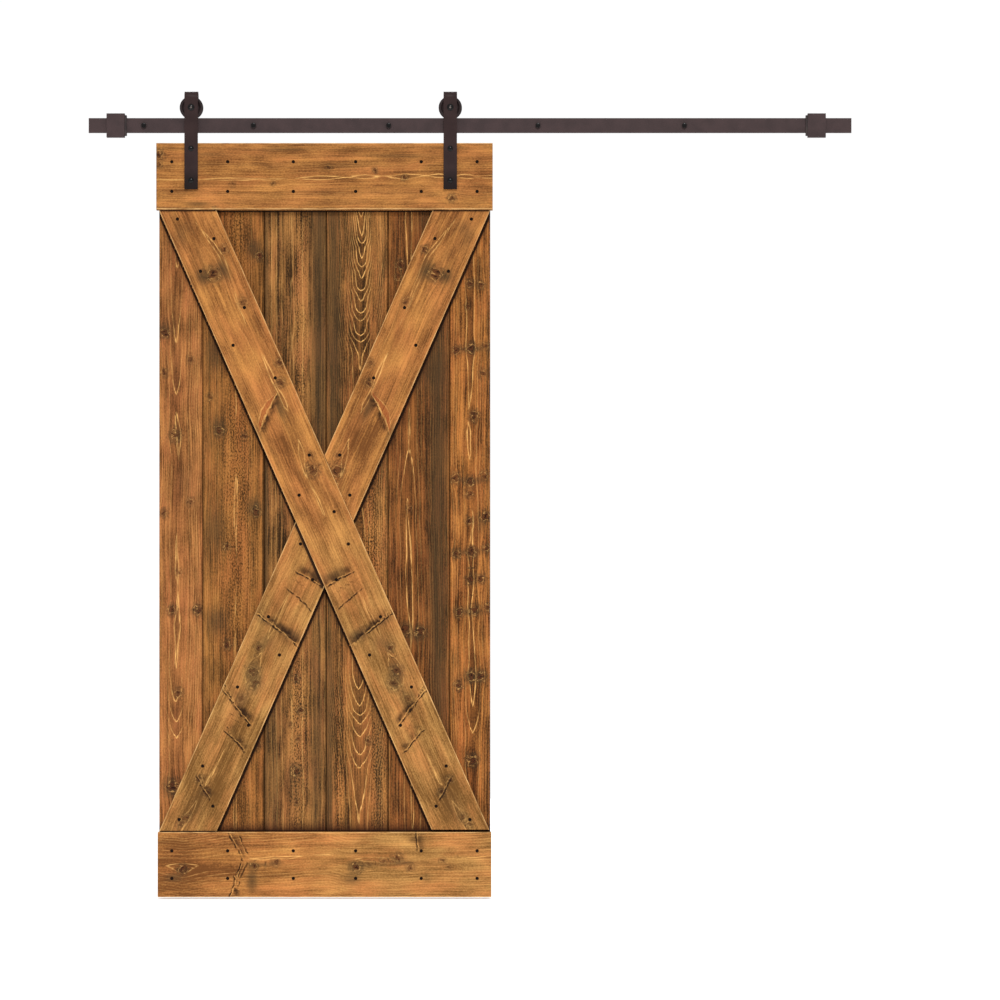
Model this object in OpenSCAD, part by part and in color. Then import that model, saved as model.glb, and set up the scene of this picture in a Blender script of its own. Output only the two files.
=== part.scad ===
// Sliding barn door on a flat rail. A leaf of six tongue-and-groove planks, with a top board, a bottom
// board and three diagonal braces on its face, hangs from two strap hangers. Their grooved wheels
// roll on a flat steel rail that five spacers hold off the wall.
// Frame: +X right, +Z up, the face of the door looks along -Y. The wall plane is Y = 0, and the origin
// lies on it, on the axis of the middle wall bolt.

/* [Door leaf] */
// Height of the leaf
door_h = 2134; // [1700:1:2600]
// Width of the plank field
field_w = 938; // [760:1:1200]
// Width of the left plank, which is ripped down
left_plank_w = 123; // [70:1:170]
// Width of the right plank, which is ripped down
right_plank_w = 115; // [70:1:170]
// Thickness of the planks
plank_t = 22; // [18:0.5:30]
// Thickness of the boards and braces on the face
board_t = 20; // [16:0.5:28]
// Height of the top board
top_board_h = 190; // [155:1:240]
// Height of the bottom board
bottom_board_h = 184; // [150:1:240]
// How far the top board stands past the planks on each side
top_overhang = 7; // [0:0.5:12]
// How far the bottom board stands past the planks on each side
bottom_overhang = 3; // [0:0.5:12]
// Width of the diagonal braces
brace_w = 149; // [115:1:185]
// Space left under the foot of the long brace
brace_foot_gap = 7; // [0.5:0.5:12]
// Chamfer along the edges of the boards and braces
board_ease = 1.5; // [0.5:0.25:4]

/* [Plank joints] */
// Thickness of the tongues
tongue_t = 6; // [4:0.5:8]
// Length of the tongues
tongue_l = 8; // [5:0.5:12]
// Space round a tongue in its groove
tongue_gap = 0.4; // [0.1:0.1:0.8]
// Space between two planks at their faces
plank_gap = 0.6; // [0.2:0.1:0.9]
// Chamfer of the planks' front edges
plank_chamfer = 3; // [1:0.25:5]
// Chamfer of the planks' back edges
back_chamfer = 1; // [0.5:0.25:4]
// Space between a half brace and the long brace, or a board
butt_gap = 0.5; // [0.2:0.1:0.9]

/* [Wood screws] */
// Length of the wood screws
screw_l = 36; // [26:0.5:38]
// Shank diameter of the wood screws
screw_d = 4.5; // [3:0.1:6]
// Head diameter of the wood screws
screw_head_d = 8.6; // [7:0.1:12]
// Distance of a board's screw rows from its edges
screw_edge = 53; // [30:1:70]
// Distance of the zigzag screws from a brace's middle line
screw_zigzag = 36; // [20:1:48]

/* [Rail] */
// Length of the rail
rail_l = 2160; // [1750:1:2700]
// Height of the rail
rail_h = 42; // [34:0.5:52]
// Thickness of the rail
rail_t = 6; // [4:0.5:8]
// Distance from the rail's left end to the first wall bolt
bolt_first = 156; // [130:1:200]
// Distance from the last wall bolt to the rail's right end
bolt_last = 473; // [150:1:500]
// Length of the spacers between the wall and the rail
spacer_l = 38; // [30:0.5:60]
// Outer diameter of the spacers
spacer_d = 22; // [16:0.5:28]

/* [Wall bolts] */
// Diameter of the wall bolts' screw part, behind the wall plane
lag_d = 8; // [6:0.5:10]
// Diameter of the wall bolts' smooth neck
lag_neck_d = 7.6; // [5:0.1:9.8]
// How far the wall bolts reach into the wall
lag_reach = 45; // [35:1:70]
// Length of a wall bolt's point
lag_point = 7; // [4:0.5:10]
// Width across the flats of a wall bolt's head
lag_head_af = 13; // [10:0.5:17]
// Height of a wall bolt's head
lag_head_h = 5.3; // [4:0.1:6]
// Diameter of the washer under a wall bolt's head
lag_washer_d = 18; // [16:0.5:24]

/* [End stops] */
// Width of a stop along the rail
stop_w = 51; // [40:0.5:64]
// Height of a stop
stop_h = 68; // [58:0.5:84]
// Thickness of a stop in front of the rail
stop_front_t = 7.5; // [5:0.5:8]
// Thickness of a stop behind the rail
stop_back_t = 7; // [5:0.5:9]
// Chamfer along a stop's edges
stop_chamfer = 1.5; // [0.5:0.25:4]
// Length of the buffer on a stop
buffer_l = 5.6; // [4:0.1:10]
// How much lower than its stop the buffer is, above and below
buffer_step = 5; // [2:0.5:10]
// Distance from the rail's left end to the left stop
left_stop_inset = 51; // [10:1:60]
// Distance from the right stop to the rail's right end
right_stop_inset = 73; // [10:1:90]
// Diameter of the set screws that clamp a stop
set_screw_d = 6; // [4:0.5:8]
// Distance between a stop's two set screws
set_screw_pitch = 26; // [16:1:30]

/* [Hangers] */
// Distance from the rail's left end to the top board's left end, where the door stands at rest
leaf_from_rail_end = 192; // [160:1:400]
// Width of a strap
strap_w = 38; // [30:0.5:48]
// Thickness of a strap
strap_t = 6; // [4:0.5:8]
// Distance from the top board's left end to the left strap's middle
left_strap_inset = 99; // [90:1:150]
// Distance from the right strap's middle to the top board's right end
right_strap_inset = 120; // [90:1:150]
// Distance from the rail down to the top of the leaf
rail_to_leaf = 29.3; // [22:0.1:40]
// Distance from the top of the leaf down to the upper door bolt
door_bolt_first = 16; // [14:0.5:30]
// Distance between the two door bolts of a strap
door_bolt_pitch = 90; // [60:1:110]
// Distance from the lower door bolt down to the strap's end
strap_end = 25; // [15:0.5:35]
// Space between the rail's top and the strap's short leg behind it
leg_above_rail = 9; // [6:0.5:14]

/* [Door bolts] */
// Shank diameter of the door bolts
door_bolt_d = 8; // [6:0.5:10]
// Head diameter of the door bolts
door_bolt_head_d = 15.4; // [13:0.1:20]
// Head height of the door bolts
door_bolt_head_h = 4.6; // [3:0.1:7]
// Width across the flats of the door bolts' nuts
door_nut_af = 13; // [11:0.5:17]
// Height of the door bolts' nuts
door_nut_h = 5; // [3:0.1:6]
// Diameter of the washers behind the leaf
door_washer_d = 18; // [16:0.5:26]

/* [Wheels] */
// Diameter of a wheel at the bottom of its groove
tread_d = 58; // [48:0.5:70]
// Height of the flanges beside the groove
flange_h = 4; // [3:0.25:6]
// Width of a wheel
wheel_w = 20; // [17:0.5:24]
// Space between a wheel and the strap on each side
wheel_side_gap = 2.5; // [1.5:0.25:4]
// Space between the rail and a flange at the bottom of the groove
groove_gap = 0.7; // [0.5:0.1:1.2]
// How much wider the groove is at its mouth, on each side
groove_flare = 0.8; // [0.3:0.1:1.5]
// Space between the tread and the rail's top
tread_gap = 0.3; // [0.2:0.05:0.5]
// Depth of the dish in a wheel's sides
wheel_dish = 3.5; // [2:0.25:4]
// Width of the rim beside the dish
rim_w = 7; // [5:0.5:10]

/* [Axles and bearings] */
// Diameter of the axle bolts
axle_d = 10; // [8:0.5:11]
// Head diameter of the axle bolts
axle_head_d = 19; // [16:0.5:24]
// Head height of the axle bolts
axle_head_h = 5.5; // [4:0.1:8]
// Width across the flats of the socket in an axle bolt's head
axle_socket_af = 6; // [4:0.5:8]
// Width across the flats of the axle nuts
axle_nut_af = 17; // [14:0.5:22]
// Height of the axle nuts
axle_nut_h = 8; // [5:0.1:10]
// Outer diameter of a bearing
bearing_od = 26; // [24:0.5:32]
// Width of a bearing
bearing_w = 8; // [7.5:0.5:10]
// Diameter of the bearing balls
ball_d = 4.76; // [4:0.01:5]
// Number of balls in a bearing
ball_count = 7; // [5:1:8]

/* [Clearances] */
// Space round a bolt or screw in its hole
hole_gap = 0.2; // [0.05:0.05:0.5]
// Space round what is a close fit
fit_gap = 0.05; // [0.02:0.01:0.1]
// Space between a stop and the rail above, below and behind
stop_gap = 0.3; // [0.1:0.05:0.6]
// Space round each bearing ball
ball_gap = 0.12; // [0.08:0.01:0.2]

/* [Hidden] */
$fn = 64;
over = 1; // how far a cutting shape runs past the face that it cuts

// Places of the wall bolts, as shares of the way from the first to the last; the middle one is the origin
bolt_shares = [0, 0.203, 0.453, 0.729, 1];
bolt_span = rail_l - bolt_first - bolt_last;
rail_left = -bolt_first - bolt_shares[2] * bolt_span;
bolt_xs = [for (share = bolt_shares) rail_left + bolt_first + share * bolt_span];

// Depths, from the wall forward
rail_back_y = -spacer_l;
rail_mid_y = rail_back_y - rail_t / 2;
rail_front_y = rail_back_y - rail_t;
strap_gap = wheel_w + 2 * wheel_side_gap;
rear_leg_y = rail_mid_y + strap_gap / 2;
strap_back_y = rail_mid_y - strap_gap / 2;
strap_front_y = strap_back_y - strap_t;
board_front_y = strap_back_y;
plank_front_y = board_front_y + board_t;
plank_back_y = plank_front_y + plank_t;

// Heights
wheel_r = tread_d / 2 + flange_h;
axle_z = rail_h / 2 + tread_gap + tread_d / 2;
leaf_top_z = -rail_h / 2 - rail_to_leaf;
leaf_bottom_z = leaf_top_z - door_h;
field_top_z = leaf_top_z - top_board_h;
field_bottom_z = leaf_bottom_z + bottom_board_h;
door_bolt_zs = [leaf_top_z - door_bolt_first, leaf_top_z - door_bolt_first - door_bolt_pitch];
strap_bottom_z = door_bolt_zs[1] - strap_end;

// The strap's bend keeps this far from the wheel's edge
bend_gap = 1;
bend_in_r = strap_gap / 2;
bend_out_r = bend_in_r + strap_t;
bend_z = axle_z + wheel_r - sqrt(pow(bend_in_r - bend_gap, 2) - pow(wheel_w / 2, 2));

// Places along the rail, with the door where it hangs at rest
top_board_w = field_w + 2 * top_overhang;
bottom_board_w = field_w + 2 * bottom_overhang;
leaf_left = rail_left + leaf_from_rail_end;
leaf_x = leaf_left + top_board_w / 2;
field_left = leaf_x - field_w / 2;
left_strap_x = leaf_left + left_strap_inset;
right_strap_x = leaf_left + top_board_w - right_strap_inset;
left_stop_x = rail_left + left_stop_inset;
right_stop_x = rail_left + rail_l - right_stop_inset - stop_w;

// Planks: two ripped ones at the sides and four equal ones between them
plank_count = 6;
full_plank_w = (field_w - left_plank_w - right_plank_w) / (plank_count - 2);
function seam_x(i) = i == 0 ? field_left
    : i == plank_count ? field_left + field_w
    : field_left + left_plank_w + (i - 1) * full_plank_w;

// Braces: the long one runs from the field's top left corner to its bottom right one
field_h = field_top_z - field_bottom_z;
field_mid_z = (field_top_z + field_bottom_z) / 2;
brace_angle = acos(brace_w / norm([field_w, field_h])) - atan2(field_h, field_w);
brace_l = field_h / cos(brace_angle);

// Screw places across a board, as shares of half the field
board_screw_shares = [-0.921, -0.584, -0.188, 0.188, 0.584, 0.921];
// Screw places on a brace: the share of its length from an end, and the side, 1 towards the top
head_screws = [[0.006, -1], [0.054, 1], [0.09, -1], [0.165, 1], [0.209, -1], [0.278, 1],
    [0.402, 1], [0.45, -1]];
foot_screws = [[0.012, 1], [0.05, -1], [0.098, 1], [0.18, -1], [0.225, 1], [0.293, -1], [0.338, 1],
    [0.414, -1], [0.455, 1]];
crossing_screw = [0.507, 1];

// The spot on a brace, from its share down from the top; turn is 1 on the long brace, -1 on the others
function brace_spot(share, side, turn) =
    let (along = (0.5 - share) * brace_l, out = side * screw_zigzag)
    [leaf_x + turn * (out * cos(brace_angle) - along * sin(brace_angle)),
     field_mid_z + along * cos(brace_angle) + out * sin(brace_angle)];
function head_spots(turn) = [for (s = head_screws) brace_spot(s[0], s[1], turn)];
function foot_spots(turn) = [for (s = foot_screws) brace_spot(1 - s[0], s[1], turn)];
function board_spots(rows) = [for (z = rows, s = board_screw_shares) [leaf_x + s * field_w / 2, z]];

top_spots = board_spots([leaf_top_z - screw_edge, field_top_z + screw_edge]);
bottom_spots = board_spots([field_bottom_z - screw_edge, leaf_bottom_z + screw_edge]);
main_spots = concat(head_spots(1), foot_spots(1),
    [brace_spot(1 - crossing_screw[0], crossing_screw[1], 1)]);
upper_spots = head_spots(-1);
lower_spots = foot_spots(-1);
all_spots = concat(top_spots, bottom_spots, main_spots, upper_spots, lower_spots);

// Small sizes of the hardware
washer_t = 1.6;
bolt_end = 1.2; // how far a bolt stands past its nut
lag_tip_d = 2;
screw_head_h = (screw_head_d - screw_d) / 2;
screw_point = 6;
screw_tip_d = 0.8;
head_rim = 1; // straight part of a round head's side
turned_share = 0.94; // width of the turned face on a six-sided head, as a share of its flats
corner_slope = 30;
socket_depth = 3;
grub_recess = 0.5; // how far a set screw lies inside its stop
grub_socket_af = 3;

// Small sizes of the wheels
wheel_chamfer = 1;
shoulder_lip = 1.6; // how far the wheel's front shoulder reaches over the outer ring

// Bearing: the balls run midway between the axle and the bearing's outside
ball_track_r = (axle_d + bearing_od) / 4;
groove_r = ball_d / 2 + ball_gap;
track_half_gap = 1; // half the space between the two rings
cage_gap = 0.3; // space between the cage and either ring
cage_rim = 0.9; // width of the cage's rim beside the balls
bush_inset = 0.6; // how far a bush stays inside the inner ring's edge
inner_ring_r = ball_track_r - track_half_gap;
outer_ring_r = ball_track_r + track_half_gap;
cage_t = 2 * (track_half_gap - cage_gap);
cage_w = ball_d + 2 * cage_rim;
bush_r = inner_ring_r - bush_inset;

hardware_colour = [0.27, 0.23, 0.22];
bolt_colour = [0.12, 0.1, 0.1];
steel_colour = [0.68, 0.69, 0.71];
rubber_colour = [0.1, 0.1, 0.1];
plank_colour = [0.52, 0.34, 0.18];
board_colour = [0.66, 0.44, 0.23];

// A cylinder along Y, from its front end back
module rod(r, l, front_y) translate([0, front_y, 0]) rotate([-90, 0, 0]) cylinder(r = r, h = l);

// A hexagonal prism along Y, from its front end back
module hex_rod(af, l, front_y)
    translate([0, front_y, 0]) rotate([-90, 0, 0]) cylinder(r = af / 2 / cos(30), h = l, $fn = 6);

// A washer or bush along Y
module tube(r_out, r_in, l, front_y) difference() {
    rod(r_out, l, front_y);
    rod(r_in, l + 2 * over, front_y - over);
}

// A low domed head whose underside lies at back_y
module round_head(d, h, back_y) {
    dome = h - head_rim;
    ball_r = (pow(d / 2, 2) + pow(dome, 2)) / (2 * dome);
    intersection() {
        rod(d / 2, h + over, back_y - h - over);
        translate([0, back_y - h + ball_r, 0]) sphere(ball_r);
    }
}

// A six-sided head or nut with its front corners turned off
module hex_head(af, h, front_y) {
    flat_r = turned_share * af / 2;
    intersection() {
        hex_rod(af, h, front_y);
        translate([0, front_y, 0]) rotate([-90, 0, 0])
            cylinder(r1 = flat_r, r2 = flat_r + h / tan(corner_slope), h = h);
    }
}

// ---- Rail ----

module at_wall_bolts() for (x = bolt_xs) translate([x, 0, 0]) children();

module rail() color(hardware_colour) difference() {
    translate([rail_left, rail_front_y, -rail_h / 2]) cube([rail_l, rail_t, rail_h]);
    at_wall_bolts() rod(lag_d / 2 + hole_gap, rail_t + 2 * over, rail_front_y - over);
}

module rail_spacers() color(hardware_colour)
    at_wall_bolts() tube(spacer_d / 2, lag_d / 2 + hole_gap, spacer_l, rail_back_y);

module wall_bolt() {
    washer_front_y = rail_front_y - washer_t;
    straight = lag_reach - lag_point;
    hex_head(lag_head_af, lag_head_h, washer_front_y - lag_head_h);
    rod(lag_neck_d / 2, -washer_front_y, washer_front_y);
    rod(lag_d / 2, straight, 0);
    translate([0, straight, 0]) rotate([-90, 0, 0])
        cylinder(r1 = lag_d / 2, r2 = lag_tip_d / 2, h = lag_point);
}

module wall_bolts() color(bolt_colour) at_wall_bolts() wall_bolt();

module wall_bolt_washers() color(hardware_colour)
    at_wall_bolts() tube(lag_washer_d / 2, lag_d / 2 + hole_gap, washer_t, rail_front_y - washer_t);

// ---- End stops ----

stop_front_y = rail_front_y - stop_front_t;
stop_back_y = rail_back_y + stop_gap + stop_back_t;

// The section of a stop or buffer, closed round the rail, in Y and Z
module stop_section(front_y, back_y, h, chamfer) difference() {
    polygon([[front_y + chamfer, -h / 2], [back_y - chamfer, -h / 2],
        [back_y, -h / 2 + chamfer], [back_y, h / 2 - chamfer],
        [back_y - chamfer, h / 2], [front_y + chamfer, h / 2],
        [front_y, h / 2 - chamfer], [front_y, -h / 2 + chamfer]]);
    translate([rail_front_y, -rail_h / 2 - stop_gap]) square([rail_t + stop_gap, rail_h + 2 * stop_gap]);
}

// The section swept along the rail for a length
module along_rail(l) rotate([90, 0, 90]) linear_extrude(l) children();

module at_set_screws() for (side = [-1, 1])
    translate([stop_w / 2 + side * set_screw_pitch / 2, 0, 0]) children();

module stop() difference() {
    along_rail(stop_w) stop_section(stop_front_y, stop_back_y, stop_h, stop_chamfer);
    at_set_screws() rod(set_screw_d / 2 + fit_gap, stop_back_t + 2 * over, stop_back_y - stop_back_t - over);
}

module stop_buffer() along_rail(buffer_l)
    stop_section(stop_front_y + stop_chamfer, stop_back_y - stop_chamfer,
        stop_h - 2 * buffer_step, stop_chamfer);

module set_screw() {
    l = stop_back_y - rail_back_y - grub_recess;
    difference() {
        rod(set_screw_d / 2, l, rail_back_y);
        hex_rod(grub_socket_af, socket_depth + over, rail_back_y + l - socket_depth);
    }
}

module left_stop() color(hardware_colour) translate([left_stop_x, 0, 0]) stop();
module right_stop() color(hardware_colour) translate([right_stop_x, 0, 0]) stop();
module left_stop_buffer() color(rubber_colour) translate([left_stop_x + stop_w, 0, 0]) stop_buffer();
module right_stop_buffer() color(rubber_colour) translate([right_stop_x - buffer_l, 0, 0]) stop_buffer();
module stop_set_screws() color(bolt_colour)
    for (x = [left_stop_x, right_stop_x]) translate([x, 0, 0]) at_set_screws() set_screw();

// ---- Planks ----

// The plan outline of a plank, with a groove at its left and a tongue at its right where asked for
function plank_outline(x0, x1, groove, tongue) =
    let (f = plank_front_y, b = plank_back_y, m = (f + b) / 2, v = plank_chamfer, e = back_chamfer,
        tongue_h = tongue_t / 2, groove_h = tongue_t / 2 + tongue_gap,
        groove_l = tongue_l - plank_gap + tongue_gap)
    concat(
        groove ? [[x0, f + v], [x0 + v, f]] : [[x0, f]],
        tongue ? [[x1 - v, f], [x1, f + v], [x1, m - tongue_h], [x1 + tongue_l, m - tongue_h],
            [x1 + tongue_l, m + tongue_h], [x1, m + tongue_h], [x1, b - e], [x1 - e, b]]
            : [[x1, f], [x1, b]],
        groove ? [[x0 + e, b], [x0, b - e], [x0, m + groove_h], [x0 + groove_l, m + groove_h],
            [x0 + groove_l, m - groove_h], [x0, m - groove_h]] : [[x0, b]]);

// The hole of a wood screw, a little deeper than its point
module screw_hole(spot) translate([spot[0], 0, spot[1]]) {
    rod(screw_d / 2 + hole_gap, screw_l + hole_gap, board_front_y);
    countersink(screw_head_d / 2 + hole_gap, screw_d / 2 + hole_gap);
}

module countersink(r1, r2) translate([0, board_front_y, 0]) rotate([-90, 0, 0])
    cylinder(r1 = r1, r2 = r2, h = screw_head_h);

module door_bolt_holes() for (x = [left_strap_x, right_strap_x], z = door_bolt_zs)
    translate([x, 0, z]) rod(door_bolt_d / 2 + hole_gap, board_t + plank_t + 2 * over, board_front_y - over);

module plank(i) {
    first = i == 1;
    last = i == plank_count;
    x0 = seam_x(i - 1) + (first ? 0 : plank_gap / 2);
    x1 = seam_x(i) - (last ? 0 : plank_gap / 2);
    reach = screw_d / 2 + hole_gap;
    near = [for (s = all_spots) if (s[0] > x0 - reach && s[0] < x1 + tongue_l + reach) s];
    color(plank_colour) difference() {
        translate([0, 0, leaf_bottom_z]) linear_extrude(door_h) polygon(plank_outline(x0, x1, !first, !last));
        for (s = near) screw_hole(s);
        door_bolt_holes();
    }
}

module plank_1() plank(1);
module plank_2() plank(2);
module plank_3() plank(3);
module plank_4() plank(4);
module plank_5() plank(5);
module plank_6() plank(6);

// ---- Boards and braces ----

// The section of a board or brace, flat at the back, with its two front edges eased
function board_outline(w) = [
    [-w / 2, plank_front_y], [-w / 2, board_front_y + board_ease], [-w / 2 + board_ease, board_front_y],
    [w / 2 - board_ease, board_front_y], [w / 2, board_front_y + board_ease], [w / 2, plank_front_y]];

// A level board with its middle at height z
module board(w, h, z) translate([leaf_x - w / 2, 0, z]) rotate([0, 90, 0])
    linear_extrude(w) polygon(board_outline(h));

module top_board() color(board_colour) difference() {
    board(top_board_w, top_board_h, leaf_top_z - top_board_h / 2);
    for (s = top_spots) screw_hole(s);
    door_bolt_holes();
}

module bottom_board() color(board_colour) difference() {
    board(bottom_board_w, bottom_board_h, leaf_bottom_z + bottom_board_h / 2);
    for (s = bottom_spots) screw_hole(s);
}

// An endless brace through the middle of the field; turn is 1 for the long one's slope
module brace_bar(turn) {
    l = 2 * norm([field_w, field_h]);
    translate([leaf_x, 0, field_mid_z]) rotate([0, -turn * brace_angle, 0]) translate([0, 0, -l / 2])
        linear_extrude(l) polygon(board_outline(brace_w));
}

// The band that the long brace takes from the half braces
module brace_band() {
    l = 2 * norm([field_w, field_h]);
    w = brace_w + 2 * butt_gap;
    translate([leaf_x, 0, field_mid_z]) rotate([0, -brace_angle, 0])
        translate([-w / 2, board_front_y - over, -l / 2]) cube([w, board_t + 2 * over, l]);
}

// Everything between two heights
module level_band(low, high)
    translate([field_left, board_front_y - over, low]) cube([field_w, board_t + 2 * over, high - low]);

module main_brace() color(board_colour) difference() {
    intersection() {
        brace_bar(1);
        level_band(field_bottom_z + brace_foot_gap, field_top_z - butt_gap);
    }
    for (s = main_spots) screw_hole(s);
}

module half_brace(low, high, spots) color(board_colour) difference() {
    intersection() {
        brace_bar(-1);
        level_band(low, high);
    }
    brace_band();
    for (s = spots) screw_hole(s);
}

module upper_brace() half_brace(field_mid_z, field_top_z - butt_gap, upper_spots);
module lower_brace() half_brace(field_bottom_z + butt_gap, field_mid_z, lower_spots);

// ---- Wood screws ----

module wood_screw() {
    countersink(screw_head_d / 2, screw_d / 2);
    rod(screw_d / 2, screw_l - screw_point, board_front_y);
    translate([0, board_front_y + screw_l - screw_point, 0]) rotate([-90, 0, 0])
        cylinder(r1 = screw_d / 2, r2 = screw_tip_d / 2, h = screw_point);
}

module wood_screws(spots) color(bolt_colour) for (s = spots) translate([s[0], 0, s[1]]) wood_screw();

module top_board_screws() wood_screws(top_spots);
module bottom_board_screws() wood_screws(bottom_spots);
module main_brace_screws() wood_screws(main_spots);
module upper_brace_screws() wood_screws(upper_spots);
module lower_brace_screws() wood_screws(lower_spots);

// ---- Hangers ----

module strap() color(hardware_colour) difference() {
    union() {
        leg(strap_front_y, strap_bottom_z);
        leg(rear_leg_y, rail_h / 2 + leg_above_rail);
        bend();
    }
    translate([0, 0, axle_z])
        rod(axle_d / 2 + hole_gap, strap_gap + 2 * strap_t + 2 * over, strap_front_y - over);
    for (z = door_bolt_zs) translate([0, 0, z])
        rod(door_bolt_d / 2 + hole_gap, strap_t + 2 * over, strap_front_y - over);
}

// A leg of the strap, from its lower end up to the bend
module leg(front_y, low_z) translate([-strap_w / 2, front_y, low_z]) cube([strap_w, strap_t, bend_z - low_z]);

// The half turn over the wheel
module bend() translate([-strap_w / 2, rail_mid_y, bend_z]) rotate([90, 0, 90]) linear_extrude(strap_w)
    difference() {
        circle(bend_out_r);
        circle(bend_in_r);
        translate([-bend_out_r, -bend_out_r]) square([2 * bend_out_r, bend_out_r]);
    }

module axle_bolt() color(bolt_colour) translate([0, 0, axle_z]) {
    nut_back_y = rear_leg_y + strap_t + axle_nut_h;
    difference() {
        round_head(axle_head_d, axle_head_h, strap_front_y);
        hex_rod(axle_socket_af, socket_depth + over, strap_front_y - axle_head_h - over);
    }
    rod(axle_d / 2, nut_back_y + bolt_end - strap_front_y, strap_front_y);
}

module axle_nut() color(bolt_colour) translate([0, 0, axle_z]) difference() {
    mirror([0, 1, 0]) hex_head(axle_nut_af, axle_nut_h, -rear_leg_y - strap_t - axle_nut_h);
    rod(axle_d / 2 + fit_gap, axle_nut_h + 2 * over, rear_leg_y + strap_t - over);
}

module axle_bushes() color(steel_colour) translate([0, 0, axle_z]) {
    l = (strap_gap - bearing_w) / 2;
    for (front_y = [strap_back_y, rear_leg_y - l]) tube(bush_r, axle_d / 2 + fit_gap, l, front_y);
}

module door_bolt() {
    l = strap_t + board_t + plank_t + washer_t + door_nut_h + bolt_end;
    round_head(door_bolt_head_d, door_bolt_head_h, strap_front_y);
    rod(door_bolt_d / 2, l, strap_front_y);
}

module at_door_bolts() for (z = door_bolt_zs) translate([0, 0, z]) children();

module door_bolts() color(bolt_colour) at_door_bolts() door_bolt();

module door_washers() color(hardware_colour)
    at_door_bolts() tube(door_washer_d / 2, door_bolt_d / 2 + hole_gap, washer_t, plank_back_y);

module door_nuts() color(bolt_colour) at_door_bolts() difference() {
    front_y = plank_back_y + washer_t;
    mirror([0, 1, 0]) hex_head(door_nut_af, door_nut_h, -front_y - door_nut_h);
    rod(door_bolt_d / 2 + fit_gap, door_nut_h + 2 * over, front_y - over);
}

// ---- Wheels and bearings ----

// Turned about the axle, from a half section in radius and depth
module turned() translate([0, rail_mid_y, axle_z]) rotate([-90, 0, 0]) rotate_extrude() children();

module wheel() color(bolt_colour) turned() {
    seat_r = bearing_od / 2 + fit_gap;
    lip_r = bearing_od / 2 - shoulder_lip;
    half = wheel_w / 2;
    web = half - wheel_dish;
    tread_r = tread_d / 2;
    groove = rail_t / 2 + groove_gap;
    mouth = groove + groove_flare;
    polygon([
        [lip_r, -web], [wheel_r - rim_w, -web], [wheel_r - rim_w, -half],
        [wheel_r - wheel_chamfer, -half], [wheel_r, -half + wheel_chamfer], [wheel_r, -mouth],
        [tread_r, -groove], [tread_r, groove], [wheel_r, mouth],
        [wheel_r, half - wheel_chamfer], [wheel_r - wheel_chamfer, half],
        [wheel_r - rim_w, half], [wheel_r - rim_w, web],
        [seat_r, web], [seat_r, -bearing_w / 2], [lip_r, -bearing_w / 2]]);
}

// A bearing ring between two radii, with the balls' groove cut in it
module ring(r_in, r_out) color(steel_colour) turned() difference() {
    translate([r_in, -bearing_w / 2]) square([r_out - r_in, bearing_w]);
    translate([ball_track_r, 0]) circle(groove_r);
}

module inner_ring() ring(axle_d / 2 + fit_gap, inner_ring_r);
module outer_ring() ring(outer_ring_r, bearing_od / 2);

module at_balls() translate([0, rail_mid_y, axle_z]) for (i = [0 : ball_count - 1])
    rotate([0, i * 360 / ball_count, 0]) translate([0, 0, ball_track_r]) children();

module bearing_balls() color(steel_colour) at_balls() sphere(ball_d / 2);

module ball_cage() color(steel_colour) difference() {
    turned() translate([ball_track_r - cage_t / 2, -cage_w / 2]) square([cage_t, cage_w]);
    at_balls() sphere(groove_r);
}

module at_left() translate([left_strap_x, 0, 0]) children();
module at_right() translate([right_strap_x, 0, 0]) children();

rail();
rail_spacers();
wall_bolts();
wall_bolt_washers();
left_stop();
right_stop();
left_stop_buffer();
right_stop_buffer();
stop_set_screws();
plank_1();
plank_2();
plank_3();
plank_4();
plank_5();
plank_6();
top_board();
bottom_board();
main_brace();
upper_brace();
lower_brace();
top_board_screws();
bottom_board_screws();
main_brace_screws();
upper_brace_screws();
lower_brace_screws();
at_left() strap();  // left_strap
at_left() axle_bolt();  // left_axle_bolt
at_left() axle_nut();  // left_axle_nut
at_left() axle_bushes();  // left_axle_bushes
at_left() inner_ring();  // left_inner_ring
at_left() door_bolts();  // left_door_bolts
at_left() door_washers();  // left_door_washers
at_left() door_nuts();  // left_door_nuts
at_right() strap();  // right_strap
at_right() axle_bolt();  // right_axle_bolt
at_right() axle_nut();  // right_axle_nut
at_right() axle_bushes();  // right_axle_bushes
at_right() inner_ring();  // right_inner_ring
at_right() door_bolts();  // right_door_bolts
at_right() door_washers();  // right_door_washers
at_right() door_nuts();  // right_door_nuts
at_left() wheel();  // left_wheel
at_left() outer_ring();  // left_outer_ring
at_left() bearing_balls();  // left_bearing_balls
at_left() ball_cage();  // left_ball_cage
at_right() wheel();  // right_wheel
at_right() outer_ring();  // right_outer_ring
at_right() bearing_balls();  // right_bearing_balls
at_right() ball_cage();  // right_ball_cage
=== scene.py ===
# The looks of a sliding barn door on a flat rail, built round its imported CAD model.
# Places come from the CAD nodes. Lengths in the tables are in millimetres, and MM turns them into metres.
import math
from dataclasses import dataclass

import bmesh
import bpy
import numpy as np
from mathutils import Matrix, Vector


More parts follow.
